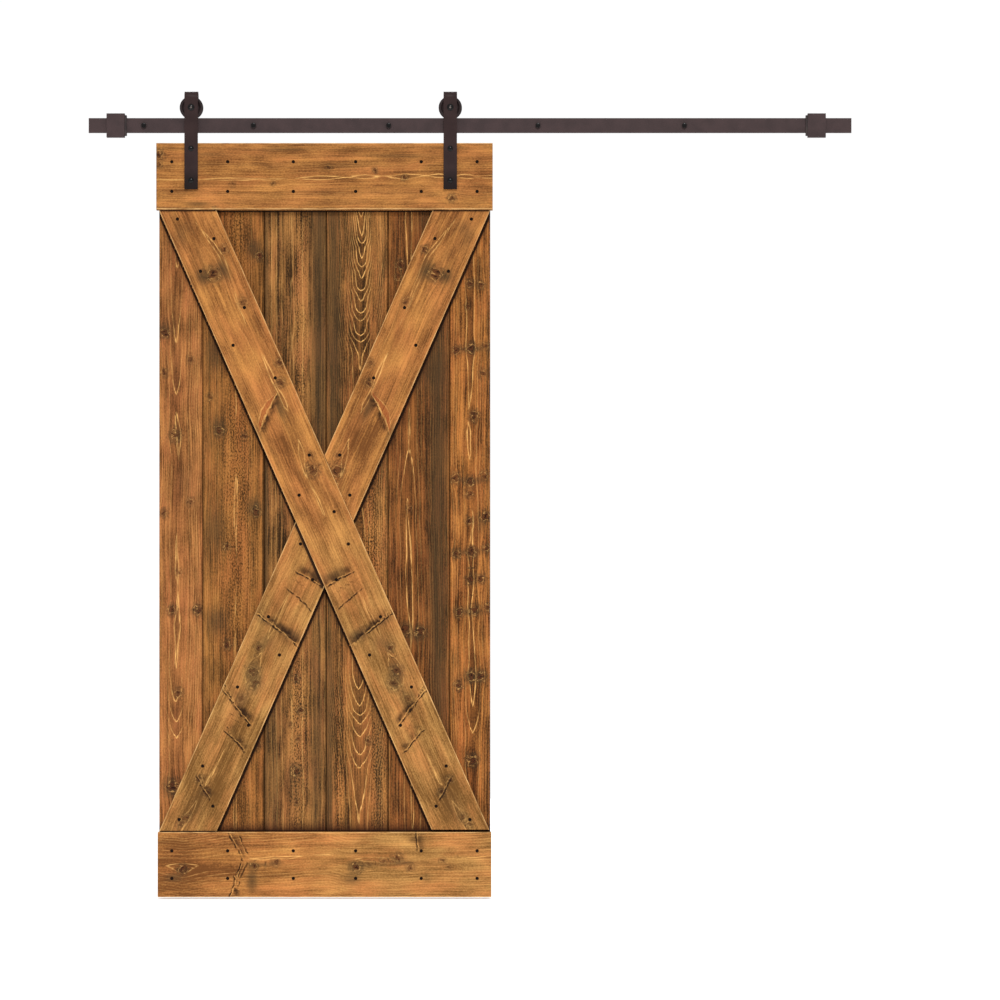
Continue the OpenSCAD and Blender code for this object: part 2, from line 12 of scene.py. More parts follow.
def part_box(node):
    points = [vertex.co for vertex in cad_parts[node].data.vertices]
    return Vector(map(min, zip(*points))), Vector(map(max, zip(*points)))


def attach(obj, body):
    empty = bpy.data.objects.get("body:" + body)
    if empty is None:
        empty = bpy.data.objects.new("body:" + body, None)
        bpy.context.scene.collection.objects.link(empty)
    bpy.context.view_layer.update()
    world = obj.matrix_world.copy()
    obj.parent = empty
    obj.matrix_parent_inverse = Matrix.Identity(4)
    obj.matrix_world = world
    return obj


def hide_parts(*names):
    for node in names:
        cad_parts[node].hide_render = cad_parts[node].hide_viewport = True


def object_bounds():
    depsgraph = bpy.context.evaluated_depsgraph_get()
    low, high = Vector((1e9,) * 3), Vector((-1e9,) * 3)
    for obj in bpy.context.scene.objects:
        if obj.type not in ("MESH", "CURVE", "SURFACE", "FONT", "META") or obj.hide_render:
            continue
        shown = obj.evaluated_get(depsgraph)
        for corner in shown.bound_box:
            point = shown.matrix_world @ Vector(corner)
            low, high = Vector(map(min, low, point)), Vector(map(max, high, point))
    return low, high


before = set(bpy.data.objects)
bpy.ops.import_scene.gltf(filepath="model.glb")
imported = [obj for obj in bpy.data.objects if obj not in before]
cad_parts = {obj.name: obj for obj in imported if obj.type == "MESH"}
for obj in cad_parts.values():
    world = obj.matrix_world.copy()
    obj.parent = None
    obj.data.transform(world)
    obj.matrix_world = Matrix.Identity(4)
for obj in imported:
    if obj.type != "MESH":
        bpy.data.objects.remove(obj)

cad_low, cad_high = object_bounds()

MM = 0.001
SCENE = bpy.context.scene

# ---- Sizes that the pieces share with the CAD model ----

BRACE_W = 149.0
BOARD_T = 20.0
PLANK_T = 22.0
PLANK_GAP = 0.6
TONGUE_L = 8.0
TONGUE_T = 6.0
TONGUE_GAP = 0.4
BUTT_GAP = 0.5
PLANK_COUNT = 6

RIGHT, UP, INWARD = Vector((1, 0, 0)), Vector((0, 0, 1)), Vector((0, 1, 0))


def low_high(node):
    """The corners of a CAD node's box, in mm."""
    low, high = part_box(node)
    return low / MM, high / MM


TOP_LOW, TOP_HIGH = low_high("top_board")
BOTTOM_LOW, BOTTOM_HIGH = low_high("bottom_board")
FIELD_LEFT = low_high("plank_1")[0].x
FIELD_RIGHT = low_high("plank_6")[1].x
FIELD_TOP, FIELD_BOTTOM = TOP_LOW.z, BOTTOM_HIGH.z
FIELD_W, FIELD_H = FIELD_RIGHT - FIELD_LEFT, FIELD_TOP - FIELD_BOTTOM
LEAF_X = (FIELD_LEFT + FIELD_RIGHT) / 2
FIELD_MID_Z = (FIELD_TOP + FIELD_BOTTOM) / 2
BOARD_FRONT_Y = TOP_LOW.y
PLANK_FRONT_Y = BOARD_FRONT_Y + BOARD_T
BRACE_ANGLE = math.acos(BRACE_W / math.hypot(FIELD_W, FIELD_H)) - math.atan2(FIELD_H, FIELD_W)

# ---- Camera and light ----

VIEW_X, VIEW_Z = 0.3152, -1.0605  # what the middle of the picture shows
VIEW_WIDTH = 2.827
VIEW_DISTANCE = 12.0
SEEN_WHITE, WORLD_LIGHT = 1.02, 0.62


def add_camera():
    """A level camera straight in front of the door."""
    data = bpy.data.cameras.new("camera")
    data.sensor_width = 36
    data.lens = data.sensor_width * VIEW_DISTANCE / VIEW_WIDTH
    camera = bpy.data.objects.new("camera", data)
    camera.location = (VIEW_X, cad_low.y - VIEW_DISTANCE, VIEW_Z)
    camera.rotation_euler = (math.radians(90), 0, 0)
    SCENE.collection.objects.link(camera)
    SCENE.camera = camera


def add_sun(name, strength, angle, azimuth, elevation):
    """A soft light. Azimuth turns it to the right of the camera and, past 90 degrees, behind the door."""
    data = bpy.data.lights.new(name, "SUN")
    data.energy = strength
    data.angle = math.radians(angle)
    light = bpy.data.objects.new(name, data)
    a, e = math.radians(azimuth), math.radians(elevation)
    towards = Vector((-math.sin(a) * math.cos(e), math.cos(a) * math.cos(e), -math.sin(e)))
    light.rotation_euler = towards.to_track_quat("-Z", "Y").to_euler()
    SCENE.collection.objects.link(light)


def add_world():
    """White behind the object, and an even light on it."""
    world = bpy.data.worlds.new("studio")
    world.use_nodes = True
    SCENE.world = world
    tree = world.node_tree
    back = tree.nodes["Background"]
    back.inputs["Color"].default_value = (1, 1, 1, 1)
    path = tree.nodes.new("ShaderNodeLightPath")
    level = tree.nodes.new("ShaderNodeMapRange")
    level.inputs["To Min"].default_value = WORLD_LIGHT
    level.inputs["To Max"].default_value = SEEN_WHITE
    tree.links.new(path.outputs["Is Camera Ray"], level.inputs["Value"])
    tree.links.new(level.outputs[0], back.inputs["Strength"])


add_camera()
add_world()
add_sun("key", 1.67, 12, 5, 38)
add_sun("back", 0.5, 20, 190, 30)
SCENE.view_settings.view_transform = "Standard"

# ---- Material helpers ----


def rgb(red, green, blue):
    """A screen colour from 0 to 255 as a linear one."""
    def linear(c):
        c /= 255
        return c / 12.92 if c <= 0.04045 else ((c + 0.055) / 1.055) ** 2.4
    return linear(red), linear(green), linear(blue), 1.0


def darker(colour, share):
    """A screen colour scaled down to a share of itself, as a linear one."""
    return rgb(*[share * c for c in colour])


class Value:
    """A node's output that can be reckoned with like a number, which adds Math nodes."""

    def __init__(self, shader, socket):
        self.shader, self.socket = shader, socket

    def __add__(self, other):
        return self.shader.maths("ADD", self, other)

    def __sub__(self, other):
        return self.shader.maths("SUBTRACT", self, other)

    def __mul__(self, other):
        return self.shader.maths("MULTIPLY", self, other)

    def __truediv__(self, other):
        return self.shader.maths("DIVIDE", self, other)


class Shader:
    """Adds nodes to a new material in short calls, most of which return a Value."""

    def __init__(self, name):
        self.material = bpy.data.materials.new(name)
        self.material.use_nodes = True
        self.tree = self.material.node_tree

    def put(self, socket, value):
        if isinstance(value, Value):
            self.tree.links.new(value.socket, socket)
        else:
            socket.default_value = value

    def add(self, kind, inputs=(), output=0, **settings):
        node = self.tree.nodes.new("ShaderNode" + kind)
        for key, value in settings.items():
            setattr(node, key, value)
        for key, value in dict(inputs).items():
            self.put(node.inputs[key], value)
        return Value(self, node.outputs[output])

    def finish(self, **inputs):
        surface = self.tree.nodes["Principled BSDF"]
        for key, value in inputs.items():
            self.put(surface.inputs[key.replace("_", " ")], value)
        return self.material

    def maths(self, operation, *values, clamp=False):
        return self.add("Math", enumerate(values), operation=operation, use_clamp=clamp)

    def vector(self, operation, *vectors, output=0):
        return self.add("VectorMath", enumerate(vectors), output, operation=operation)

    def mix(self, share, a, b):
        return self.add("Mix", {0: share, 6: a, 7: b}, 2, data_type="RGBA")

    def split(self, vector):
        node = self.add("SeparateXYZ", {0: vector}).socket.node
        return [Value(self, socket) for socket in node.outputs]

    def noise(self, vector, size, detail=2.0, roughness=0.5):
        """Noise whose grains measure size, one number or three, in the vector's own unit."""
        sizes = size if isinstance(size, tuple) else (size,) * 3
        scaled = self.vector("MULTIPLY", vector, [1 / s for s in sizes])
        inputs = {"Vector": scaled, "Scale": 1.0, "Detail": detail, "Roughness": roughness}
        return self.add("TexNoise", inputs, "Fac")

    def curve(self, value, stops):
        """The value read off a curve through stops, a list of (value, result) with rising values."""
        low, high = stops[0][0], stops[-1][0]
        share = self.add("MapRange", {"Value": value, "From Min": low, "From Max": high})
        read = self.add("ValToRGB", {"Fac": share})
        marks = read.socket.node.color_ramp.elements
        for place, result in stops[1:-1]:
            marks.new((place - low) / (high - low)).color = (result, result, result, 1)
        marks[0].color = (stops[0][1],) * 3 + (1,)
        marks[-1].color = (stops[-1][1],) * 3 + (1,)
        return read

    def bump(self, height, depth):
        """A normal from a height, where a height of 1 stands depth metres out."""
        return self.add("Bump", {"Height": height, "Distance": depth, "Strength": 1.0})

    def places(self, kind="Object"):
        """The object's own coordinates in metres, or with "Generated" as shares of its box."""
        return self.add("TexCoord", output=kind)


# ---- Wood ----

LINE = rgb(238, 180, 104)
SMUDGE = rgb(66, 50, 30)
KNOT = rgb(82, 36, 14)
# Also the colour of the painted shade lines beside the braces and in the joints.
CRACK_AND_PAINTED_SHADE = rgb(32, 15, 6)
RED_HEART = rgb(150, 66, 34)
# Pale raw wood on rubbed edges, which also serves as a painted highlight along them.
RAW_AND_HIGHLIGHT = rgb(236, 188, 124)
# The painted shade at the foot of the planks, above the bottom board.
PAINTED_FOOT_SHADE = rgb(52, 24, 12)


class Wood(Shader):
    """Stained, lightly brushed pine. The attributes of the mesh say where a board's rings, knots, cracks
    and stains lie, and each method lays one of them over the colour so far."""

    def __init__(self, name):
        super().__init__(name)
        self.grain = self.add("Attribute", output="Vector", attribute_name="grain")
        self.fibre = self.noise(self.grain, (70, 1.5, 1.5), 2, 0.6)
        self.needle = self.noise(self.grain, (260, 2.8, 2.8), 2, 0.6)
        self.streak = self.noise(self.grain, (420, 9, 9), 3, 0.6)
        self.cloud = self.noise(self.grain, (110, 42, 42), 3, 0.55)
        self.speck = self.noise(self.grain, (6, 3.6, 3.6), 3, 0.65)
        self.patchy = self.curve(self.cloud, [(0.3, 0.55), (0.62, 1)])

    def read(self, name):
        """The three numbers of an attribute."""
        return self.split(self.add("Attribute", output="Vector", attribute_name=name))

    def patches(self, size, stops, detail=2, roughness=0.5):
        """Noise along the grain, read off a curve."""
        return self.curve(self.noise(self.grain, size, detail, roughness), stops)

    def lay(self, share, colour):
        self.colour = self.mix(share, self.colour, colour)

    def add_base(self, deep, pale, deep_end, pale_end, streaks):
        """The stained face, and in rough spots the specks that a brush leaves."""
        tone = self.read("crack")[2]
        tint, rough = self.read("stain")[1:]
        level = (self.fibre * 1.1 + self.needle * 1.6 + self.streak * 1.7) * streaks
        level = level + tone + self.cloud * 1.7 + self.speck * 1.3 - (2.2 * streaks + 1.06)
        level = self.maths("ADD", level, (self.speck - 0.52) * rough * 6.0, clamp=True)
        ruddy = self.patches((150, 46, 46), [(0.4, 0), (0.62, 0.65)])
        light = self.mix(tint, rgb(*pale), rgb(*pale_end))
        light = self.mix(ruddy, light, rgb(pale[0] * 0.97, pale[1] * 0.88, pale[2] * 0.94))
        self.colour = self.mix(level, self.mix(tint, rgb(*deep), rgb(*deep_end)), light)

    def add_rings(self, deep):
        """Late wood lines, which the stain leaves pale, where the ring is a whole number. Returns how
        strongly they show."""
        ring, strength, _ = self.read("figure")
        steep = self.read("slope")[0]
        moved = (self.streak - 0.5) * 5.0 * steep
        phase = self.maths("FRACT", moved + (self.needle * 0.26 + (ring + 0.37)))
        pulse = self.curve((phase - 0.5) / steep, [(-2.3, 0), (-1.0, 1), (0.5, 1), (1.3, 0)])
        shown = pulse * strength * self.patches((30, 2.6, 2.6), [(0.36, 0.2), (0.58, 1)], 2, 0.6)
        valley = self.curve(phase, [(0, 0.8), (0.42, 0.9), (0.48, 0), (0.52, 0.2), (1, 0.8)])
        self.lay(valley * strength * 0.5, darker(deep, 0.7))
        self.lay(shown, LINE)
        return shown

    def add_stains(self):
        stained = self.read("stain")[0] * self.patchy * self.curve(self.needle, [(0.3, 1), (0.7, 0.6)])
        self.lay(self.curve(stained, [(0, 0), (0.28, 0.5), (0.75, 0.92)]), SMUDGE)

    def add_knots(self):
        """A dark heart in a red field, with broken pale and dark strokes round it and a shade on each
        side. Returns the dark strokes."""
        u, v, weight = self.read("knot")
        u = u + (self.noise(self.grain, 10, 1) * 3.2 - 1.6)
        v = v + (self.noise(self.vector("ADD", self.grain, (71, 37, 11)), 10, 1) * 3.2 - 1.6)
        away = self.maths("SQRT", u * u + v * v)
        long_u, wide_v = u * 0.55, v * 0.62
        along = self.maths("SQRT", long_u * long_u + wide_v * wide_v)
        side = self.noise(self.grain, (10, 7, 7), 1)
        turn = self.maths("FRACT", away * 0.95 + side * 1.7)
        reach = self.curve(away, [(0.3, 0), (0.6, 1), (1.6, 1), (2.3, 0)]) * weight
        pale = self.curve(turn, [(0.05, 0), (0.2, 1), (0.36, 0)]) * reach
        dark = self.curve(turn, [(0.34, 0), (0.55, 1), (0.8, 0)]) * reach
        pale = pale * self.curve(side, [(0.45, 0), (0.55, 1)])
        dark = dark * self.curve(side, [(0.4, 1), (0.56, 0)])
        self.lay(self.curve(along, [(0.4, 0.8), (1.0, 0.55), (1.7, 0)]) * weight * self.patchy, SMUDGE)
        self.lay(self.curve(away, [(0, 1), (0.6, 0.8), (1.0, 0)]) * weight * 0.75, KNOT)
        self.lay(dark * 0.85, CRACK_AND_PAINTED_SHADE)
        self.lay(self.curve(away, [(0, 0.9), (0.22, 0.9), (0.42, 0)]) * weight, CRACK_AND_PAINTED_SHADE)
        self.lay(pale * 0.55, LINE)
        return dark

    def add_cracks(self):
        """Dark cracks have a pale lip with a smear on one side and a thin dark line on the other; pale
        ones, whose weight is negative, have a red heart. Returns the dark line."""
        offset, weight, _ = self.read("crack")
        ragged = self.noise(self.grain, 17, 3, 0.6) * 13.0 + (offset - 6.5)
        lobes = self.patches(26, [(0.38, 0.25), (0.56, 1)])
        dark = self.maths("MAXIMUM", weight, 0.0)
        pale = self.maths("MAXIMUM", weight * -1.0, 0.0)
        either = dark + pale
        smear = self.curve(ragged, [(-1, 0), (1.5, 1), (10, 0.85), (24, 0)]) * either * either * lobes
        line = self.curve(ragged, [(-8.4, 0), (-6.0, 1), (-3.4, 1), (-1.8, 0)])
        line = line * self.curve(dark, [(0, 0), (0.4, 0.9), (1, 1)])
        line = line * self.patches(16, [(0.36, 0.25), (0.52, 1)])
        lip = self.curve(ragged, [(-2.8, 0), (-1.8, 1), (-0.7, 1), (0.4, 0)]) * dark * dark
        lip = lip * self.patches(19, [(0.42, 0.2), (0.56, 1)])
        red = self.curve(ragged, [(-19, 0), (-15, 1), (-3, 1), (-1, 0)]) * pale
        red = red * self.curve(self.needle, [(0.35, 1), (0.6, 0.45)])
        rims = [(-20, 0), (-18, 1), (-15, 0), (-3.4, 0), (-1, 1), (1.2, 1), (3.2, 0)]
        self.lay(smear * 0.95, CRACK_AND_PAINTED_SHADE)
        self.lay(red * 0.6, RED_HEART)
        self.lay(self.curve(ragged, rims) * pale * 0.7 * lobes, LINE)
        self.lay(lip * 0.45, LINE)
        self.lay(line * 0.95, CRACK_AND_PAINTED_SHADE)
        return line

    def add_edges(self, wear_and_highlight):
        """Painted shade beside a brace, above the bottom board and in the joints, and edges where the stain
        is rubbed off, whose pale line is partly a painted highlight."""
        foot = self.read("figure")[2]
        painted_shade_gap, rub_and_highlight_gap, painted_side_shade = self.read("edge")
        # Painted shade at the foot of the planks, above the bottom board.
        self.lay(foot * self.curve(self.needle, [(0.3, 1), (0.7, 0.7)]), PAINTED_FOOT_SHADE)
        # Painted shade: dark lines beside the braces and boards and in the joints at a brace's ends.
        self.lay(self.curve(painted_shade_gap, [(0, 1), (6.5, 0.96), (9, 0.3), (17, 0)]), CRACK_AND_PAINTED_SHADE)
        # Painted shade in the chamfers, V-grooves and joints.
        self.lay(painted_side_shade * 0.72, CRACK_AND_PAINTED_SHADE)
        if wear_and_highlight:
            # Rubbed pale edges, partly a painted highlight where eased edges would catch the light.
            near = self.curve(self.maths("ABSOLUTE", rub_and_highlight_gap), [(0, 1), (1.6, 0.9), (3.2, 0)])
            rubbed = self.patches((44, 3, 3), [(0.38, 0.1), (0.62, 1)], 3, 0.65)
            self.lay(near * rubbed * wear_and_highlight, RAW_AND_HIGHLIGHT)


def wood(name, deep, pale, deep_end, pale_end, streaks, wear_and_highlight=0.0):
    """Wood whose colour runs from deep and pale to the end pair as the board's tint goes from 0 to 1;
    streaks is the contrast of its grain, and worn is how far the stain is rubbed off its edges, partly as a
    painted highlight."""
    s = Wood(name)
    s.add_base(deep, pale, deep_end, pale_end, streaks)
    shown = s.add_rings(deep)
    s.add_stains()
    strokes = s.add_knots()
    line = s.add_cracks()
    s.add_edges(wear_and_highlight)
    height = shown * 0.9 + s.fibre * 0.8 - (line * 1.6 + strokes * 1.2) + s.speck * 0.7
    gloss = s.curve(s.streak, [(0.25, 0.55), (0.75, 0.68)])
    return s.finish(Base_Color=s.colour, Roughness=gloss, Specular_IOR_Level=0.08,
                    Normal=s.bump(height, 0.0005))


def end_grain(name, deep, pale, pith, normal):
    """A sawn end: rings round the pith, which is a point in mm, and dark pores."""
    s = Shader(name)
    out = s.vector("SUBTRACT", s.places(), [c * MM for c in pith])
    out = s.vector("MULTIPLY", out, [0.0 if n else 1.0 for n in normal])
    radius = s.vector("LENGTH", out, output="Value")
    phase = s.maths("FRACT", radius * 260 + s.noise(s.places(), 0.03, 2) * 2)
    rings = s.curve(phase, [(0, 0.1), (0.6, 0.35), (0.9, 1), (1, 0.1)])
    pores = s.noise(s.places(), 0.0009, 2)
    level = s.maths("ADD", rings * 0.5, pores * 0.9 - 0.3, clamp=True)
    return s.finish(Base_Color=s.mix(level, darker(deep, 0.7), darker(pale, 0.85)), Roughness=0.75,
                    Specular_IOR_Level=0.25, Normal=s.bump(pores, 0.0003))


# ---- Mesh helpers ----


def wander(x, step, seed):
    """A smooth chance line from -1 to 1, with a new value each step along x."""
    values = np.random.default_rng(seed).uniform(-1, 1, 512)
    cell = np.floor(x / step).astype(int)
    share = x / step - cell
    share = share * share * (3 - 2 * share)
    return values[cell % 512] * (1 - share) + values[(cell + 1) % 512] * share


def new_object(name, vertices, faces, materials):
    """An object from vertices in metres."""
    mesh = bpy.data.meshes.new(name)
    mesh.from_pydata(vertices, [], faces)
    for material in materials:
        mesh.materials.append(material)
    piece = bpy.data.objects.new(name, mesh)
    SCENE.collection.objects.link(piece)
    return piece


def from_bmesh(name, bm, materials=()):
    """An object from a bmesh, which is used up."""
    piece = new_object(name, [], [], materials)
    bm.to_mesh(piece.data)
    bm.free()
    return piece


def turn_out(piece, merge=None):
    """Turns the piece's faces outwards, once vertices closer than merge metres are one."""
    bm = bmesh.new()
    bm.from_mesh(piece.data)
    if merge:
        bmesh.ops.remove_doubles(bm, verts=bm.verts, dist=merge)
    bmesh.ops.recalc_face_normals(bm, faces=bm.faces)
    bm.to_mesh(piece.data)
    bm.free()


def smooth(piece, angle=35):
    piece.data.shade_smooth()
    piece.data.set_sharp_from_angle(angle=math.radians(angle))


def cut(piece, cutter, operation="DIFFERENCE"):
    """Cuts the piece with another object, which is then removed."""
    boolean = piece.modifiers.new("cut", "BOOLEAN")
    boolean.object, boolean.operation, boolean.solver = cutter, operation, "EXACT"
    graph = bpy.context.evaluated_depsgraph_get()
    made = bpy.data.meshes.new_from_object(piece.evaluated_get(graph))
    piece.modifiers.clear()
    piece.data = made
    bpy.data.objects.remove(cutter)


def settle(piece, body, node):
    """Gives a finished piece its body and hides the CAD node that it stands for."""
    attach(piece, body)
    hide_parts(node)


def rod(name, radius, length, middle, axis="Y", segments=24, materials=()):
    """A cylinder along an axis, with its middle at a point in mm."""
    turn = {"Y": Matrix.Rotation(math.radians(90), 4, "X"), "Z": Matrix()}[axis]
    bm = bmesh.new()
    bmesh.ops.create_cone(bm, cap_ends=True, segments=segments, radius1=radius * MM, radius2=radius * MM,
                          depth=length * MM, matrix=Matrix.Translation(Vector(middle) * MM) @ turn)
    return from_bmesh(name, bm, materials)


def join(name, pieces):
    """Joins pieces that have the same materials into one."""
    bm = bmesh.new()
    for piece in pieces:
        bm.from_mesh(piece.data)
    made = from_bmesh(name, bm, pieces[0].data.materials)
    for piece in pieces:
        bpy.data.objects.remove(piece)
    return made


def axis(low, high):
    """The (x, z) of the line along Y through the middle of a box."""
    return (low.x + high.x) / 2, (low.z + high.z) / 2


def islands(node):
    """The box of each separate solid in a CAD node, as (low, high) in mm, from left to right."""
    bm = bmesh.new()
    bm.from_mesh(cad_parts[node].data)
    bmesh.ops.remove_doubles(bm, verts=bm.verts, dist=1e-6)
    left, boxes = set(bm.verts), []
    while left:
        reached = [left.pop()]
        for vertex in reached:
            for edge in vertex.link_edges:
                other = edge.other_vert(vertex)
                if other in left:
                    left.remove(other)
                    reached.append(other)
        points = np.array([v.co for v in reached]) / MM
        boxes.append((Vector(points.min(0)), Vector(points.max(0))))
    bm.free()
    return sorted(boxes, key=lambda box: (round(box[0].x), box[0].z))


# ---- Boards ----

END_EASE = 0.7  # how far a board's ends are rubbed round
COARSE, FINE = 10.0, 2.4  # mesh spacing along a board, away from its knots and at them
FINE_REACH = 13  # how far the fine mesh reaches from a knot
FACE_DEPTH = 2.2  # the points above this depth are shaped with the face
SIDE_DEPTH = 5  # the points above this depth can be seen from in front
MOST_SUNK = 1.6


class Board:
    """A board with its own frame: u runs along the grain and v across it, from the middle of the face,
    and w is the depth below the face. Its section is a closed outline in v and w. Each end is cut along
    u = a + b v, given as (a, b)."""

    def __init__(self, name, middle, along, across, section, ends, thick, figure):
        self.name, self.middle, self.along = name, Vector(middle), along
        self.basis = np.array([along, across, INWARD])
        self.section, self.ends, self.thick, self.figure = section, ends, thick, figure
        self.half = max(abs(v) for v, w in section)

    def world(self, u, v, w):
        """Points in mm in the row frame."""
        return np.array(self.middle) + np.stack([u, v, w], -1) @ self.basis

    def local(self, points):
        return ((points - np.array(self.middle)) @ self.basis.T).T

    def stations(self):
        """Shares of the length where the mesh has a section, closer together at knots and cracks."""
        low, high = self.ends[0][0], self.ends[1][0]
        fine = np.arange(low, high + 1)
        density = np.full(len(fine), 1 / COARSE)
        for mark in [*self.figure.knots, *self.figure.cracks]:
            density += (1 / FINE) * np.exp(-(((fine - mark[0]) / FINE_REACH) ** 2))
        total = np.cumsum(np.minimum(density, 1 / FINE))
        places = np.interp(np.linspace(total[0], total[-1], int(total[-1])), total, fine)
        shares = (places - low) / (high - low)
        edge = END_EASE / (high - low)
        inner = shares[(shares > 2 * edge) & (shares < 1 - 2 * edge)]
        return np.concatenate([[0, edge], inner, [1 - edge, 1]])

    def build(self, materials):
        """The board's closed mesh, with its ends eased. Material 1 goes on the ends."""
        v, w = np.array(self.section).T
        start, end = [a + b * v for a, b in self.ends]
        rows = [self.world(start + (end - start) * share, v, w) for share in self.stations()]
        inner_v = np.clip(v, v.min() + END_EASE, v.max() - END_EASE)
        inner_w = np.clip(w, END_EASE, self.thick - END_EASE)
        rows[0], rows[-1] = self.world(start, inner_v, inner_w), self.world(end, inner_v, inner_w)
        n, last = len(v), len(rows) - 1
        faces = [(j * n + i, j * n + (i + 1) % n, (j + 1) * n + (i + 1) % n, (j + 1) * n + i)
                 for j in range(last) for i in range(n)]
        faces += [tuple(range(n)), tuple(range(last * n, (last + 1) * n))]
        piece = new_object(self.name, np.concatenate(rows) * MM, faces, materials)
        for polygon in piece.data.polygons[-2:]:
            polygon.material_index = 1
        turn_out(piece)
        return piece

    def dress(self, piece, edges):
        """Writes the board's attributes on its mesh and shapes its face. edges gives each point's distance in
        mm from a line of painted shade and from a rubbed edge, which may lie on either side of the point, and
        how dark the painted shade at the foot of the board is there. A rubbed edge's pale line is partly a
        painted highlight."""
        mesh = piece.data
        points = np.zeros(len(mesh.vertices) * 3)
        mesh.vertices.foreach_get("co", points)
        points = points.reshape(-1, 3) / MM
        u, v, w = self.local(points)
        fields = self.figure.fields(u, v, w)
        painted_shade_gap, rub_and_highlight_gap, foot = edges(points, u, v, w)
        # The figure's third number is how dark the painted shade at the foot is.
        fields["figure"][:, 2] = foot
        # Painted shade: points just below the face, down the chamfers, grooves and sides, are darkened.
        painted_joint_shade = np.where(w < SIDE_DEPTH, np.clip((w - 1.2) / 1.8, 0, 1), 0)
        fields["edge"] = np.stack([painted_shade_gap, rub_and_highlight_gap, painted_joint_shade], -1)
        for name, values in fields.items():
            attribute = mesh.attributes.new(name, "FLOAT_VECTOR", "POINT")
            attribute.data.foreach_set("vector", values.astype(np.float32).ravel())
        sink = np.where(w < FACE_DEPTH, np.clip(self.relief(u, v, fields["knot"]), 0, MOST_SUNK), 0)
        points += np.outer(sink, np.array(INWARD))
        mesh.vertices.foreach_set("co", (points * MM).ravel())
        mesh.update()
        smooth(piece, 40)

    def relief(self, u, v, knot):
        """How far in mm the face is sunk: it is uneven, its edges are chipped and its knots are pitted."""
        seed = self.figure.seed
        waves = 0.16 * wander(u, 61, seed) + 0.14 * wander(v + 0.08 * u, 13, seed + 1)
        edge = np.clip((np.abs(v) - self.half + 3.0) / 3.0, 0, 1)
        chip = np.clip(wander(u, 9, seed + 2) + 0.5 * wander(u, 31, seed + 3) - 0.35, 0, 1)
        pit = 0.5 * knot[:, 2] * np.exp(-(knot[:, 0] ** 2 + knot[:, 1] ** 2) * 2)
        return 0.2 + waves + edge * chip * 0.9 + pit


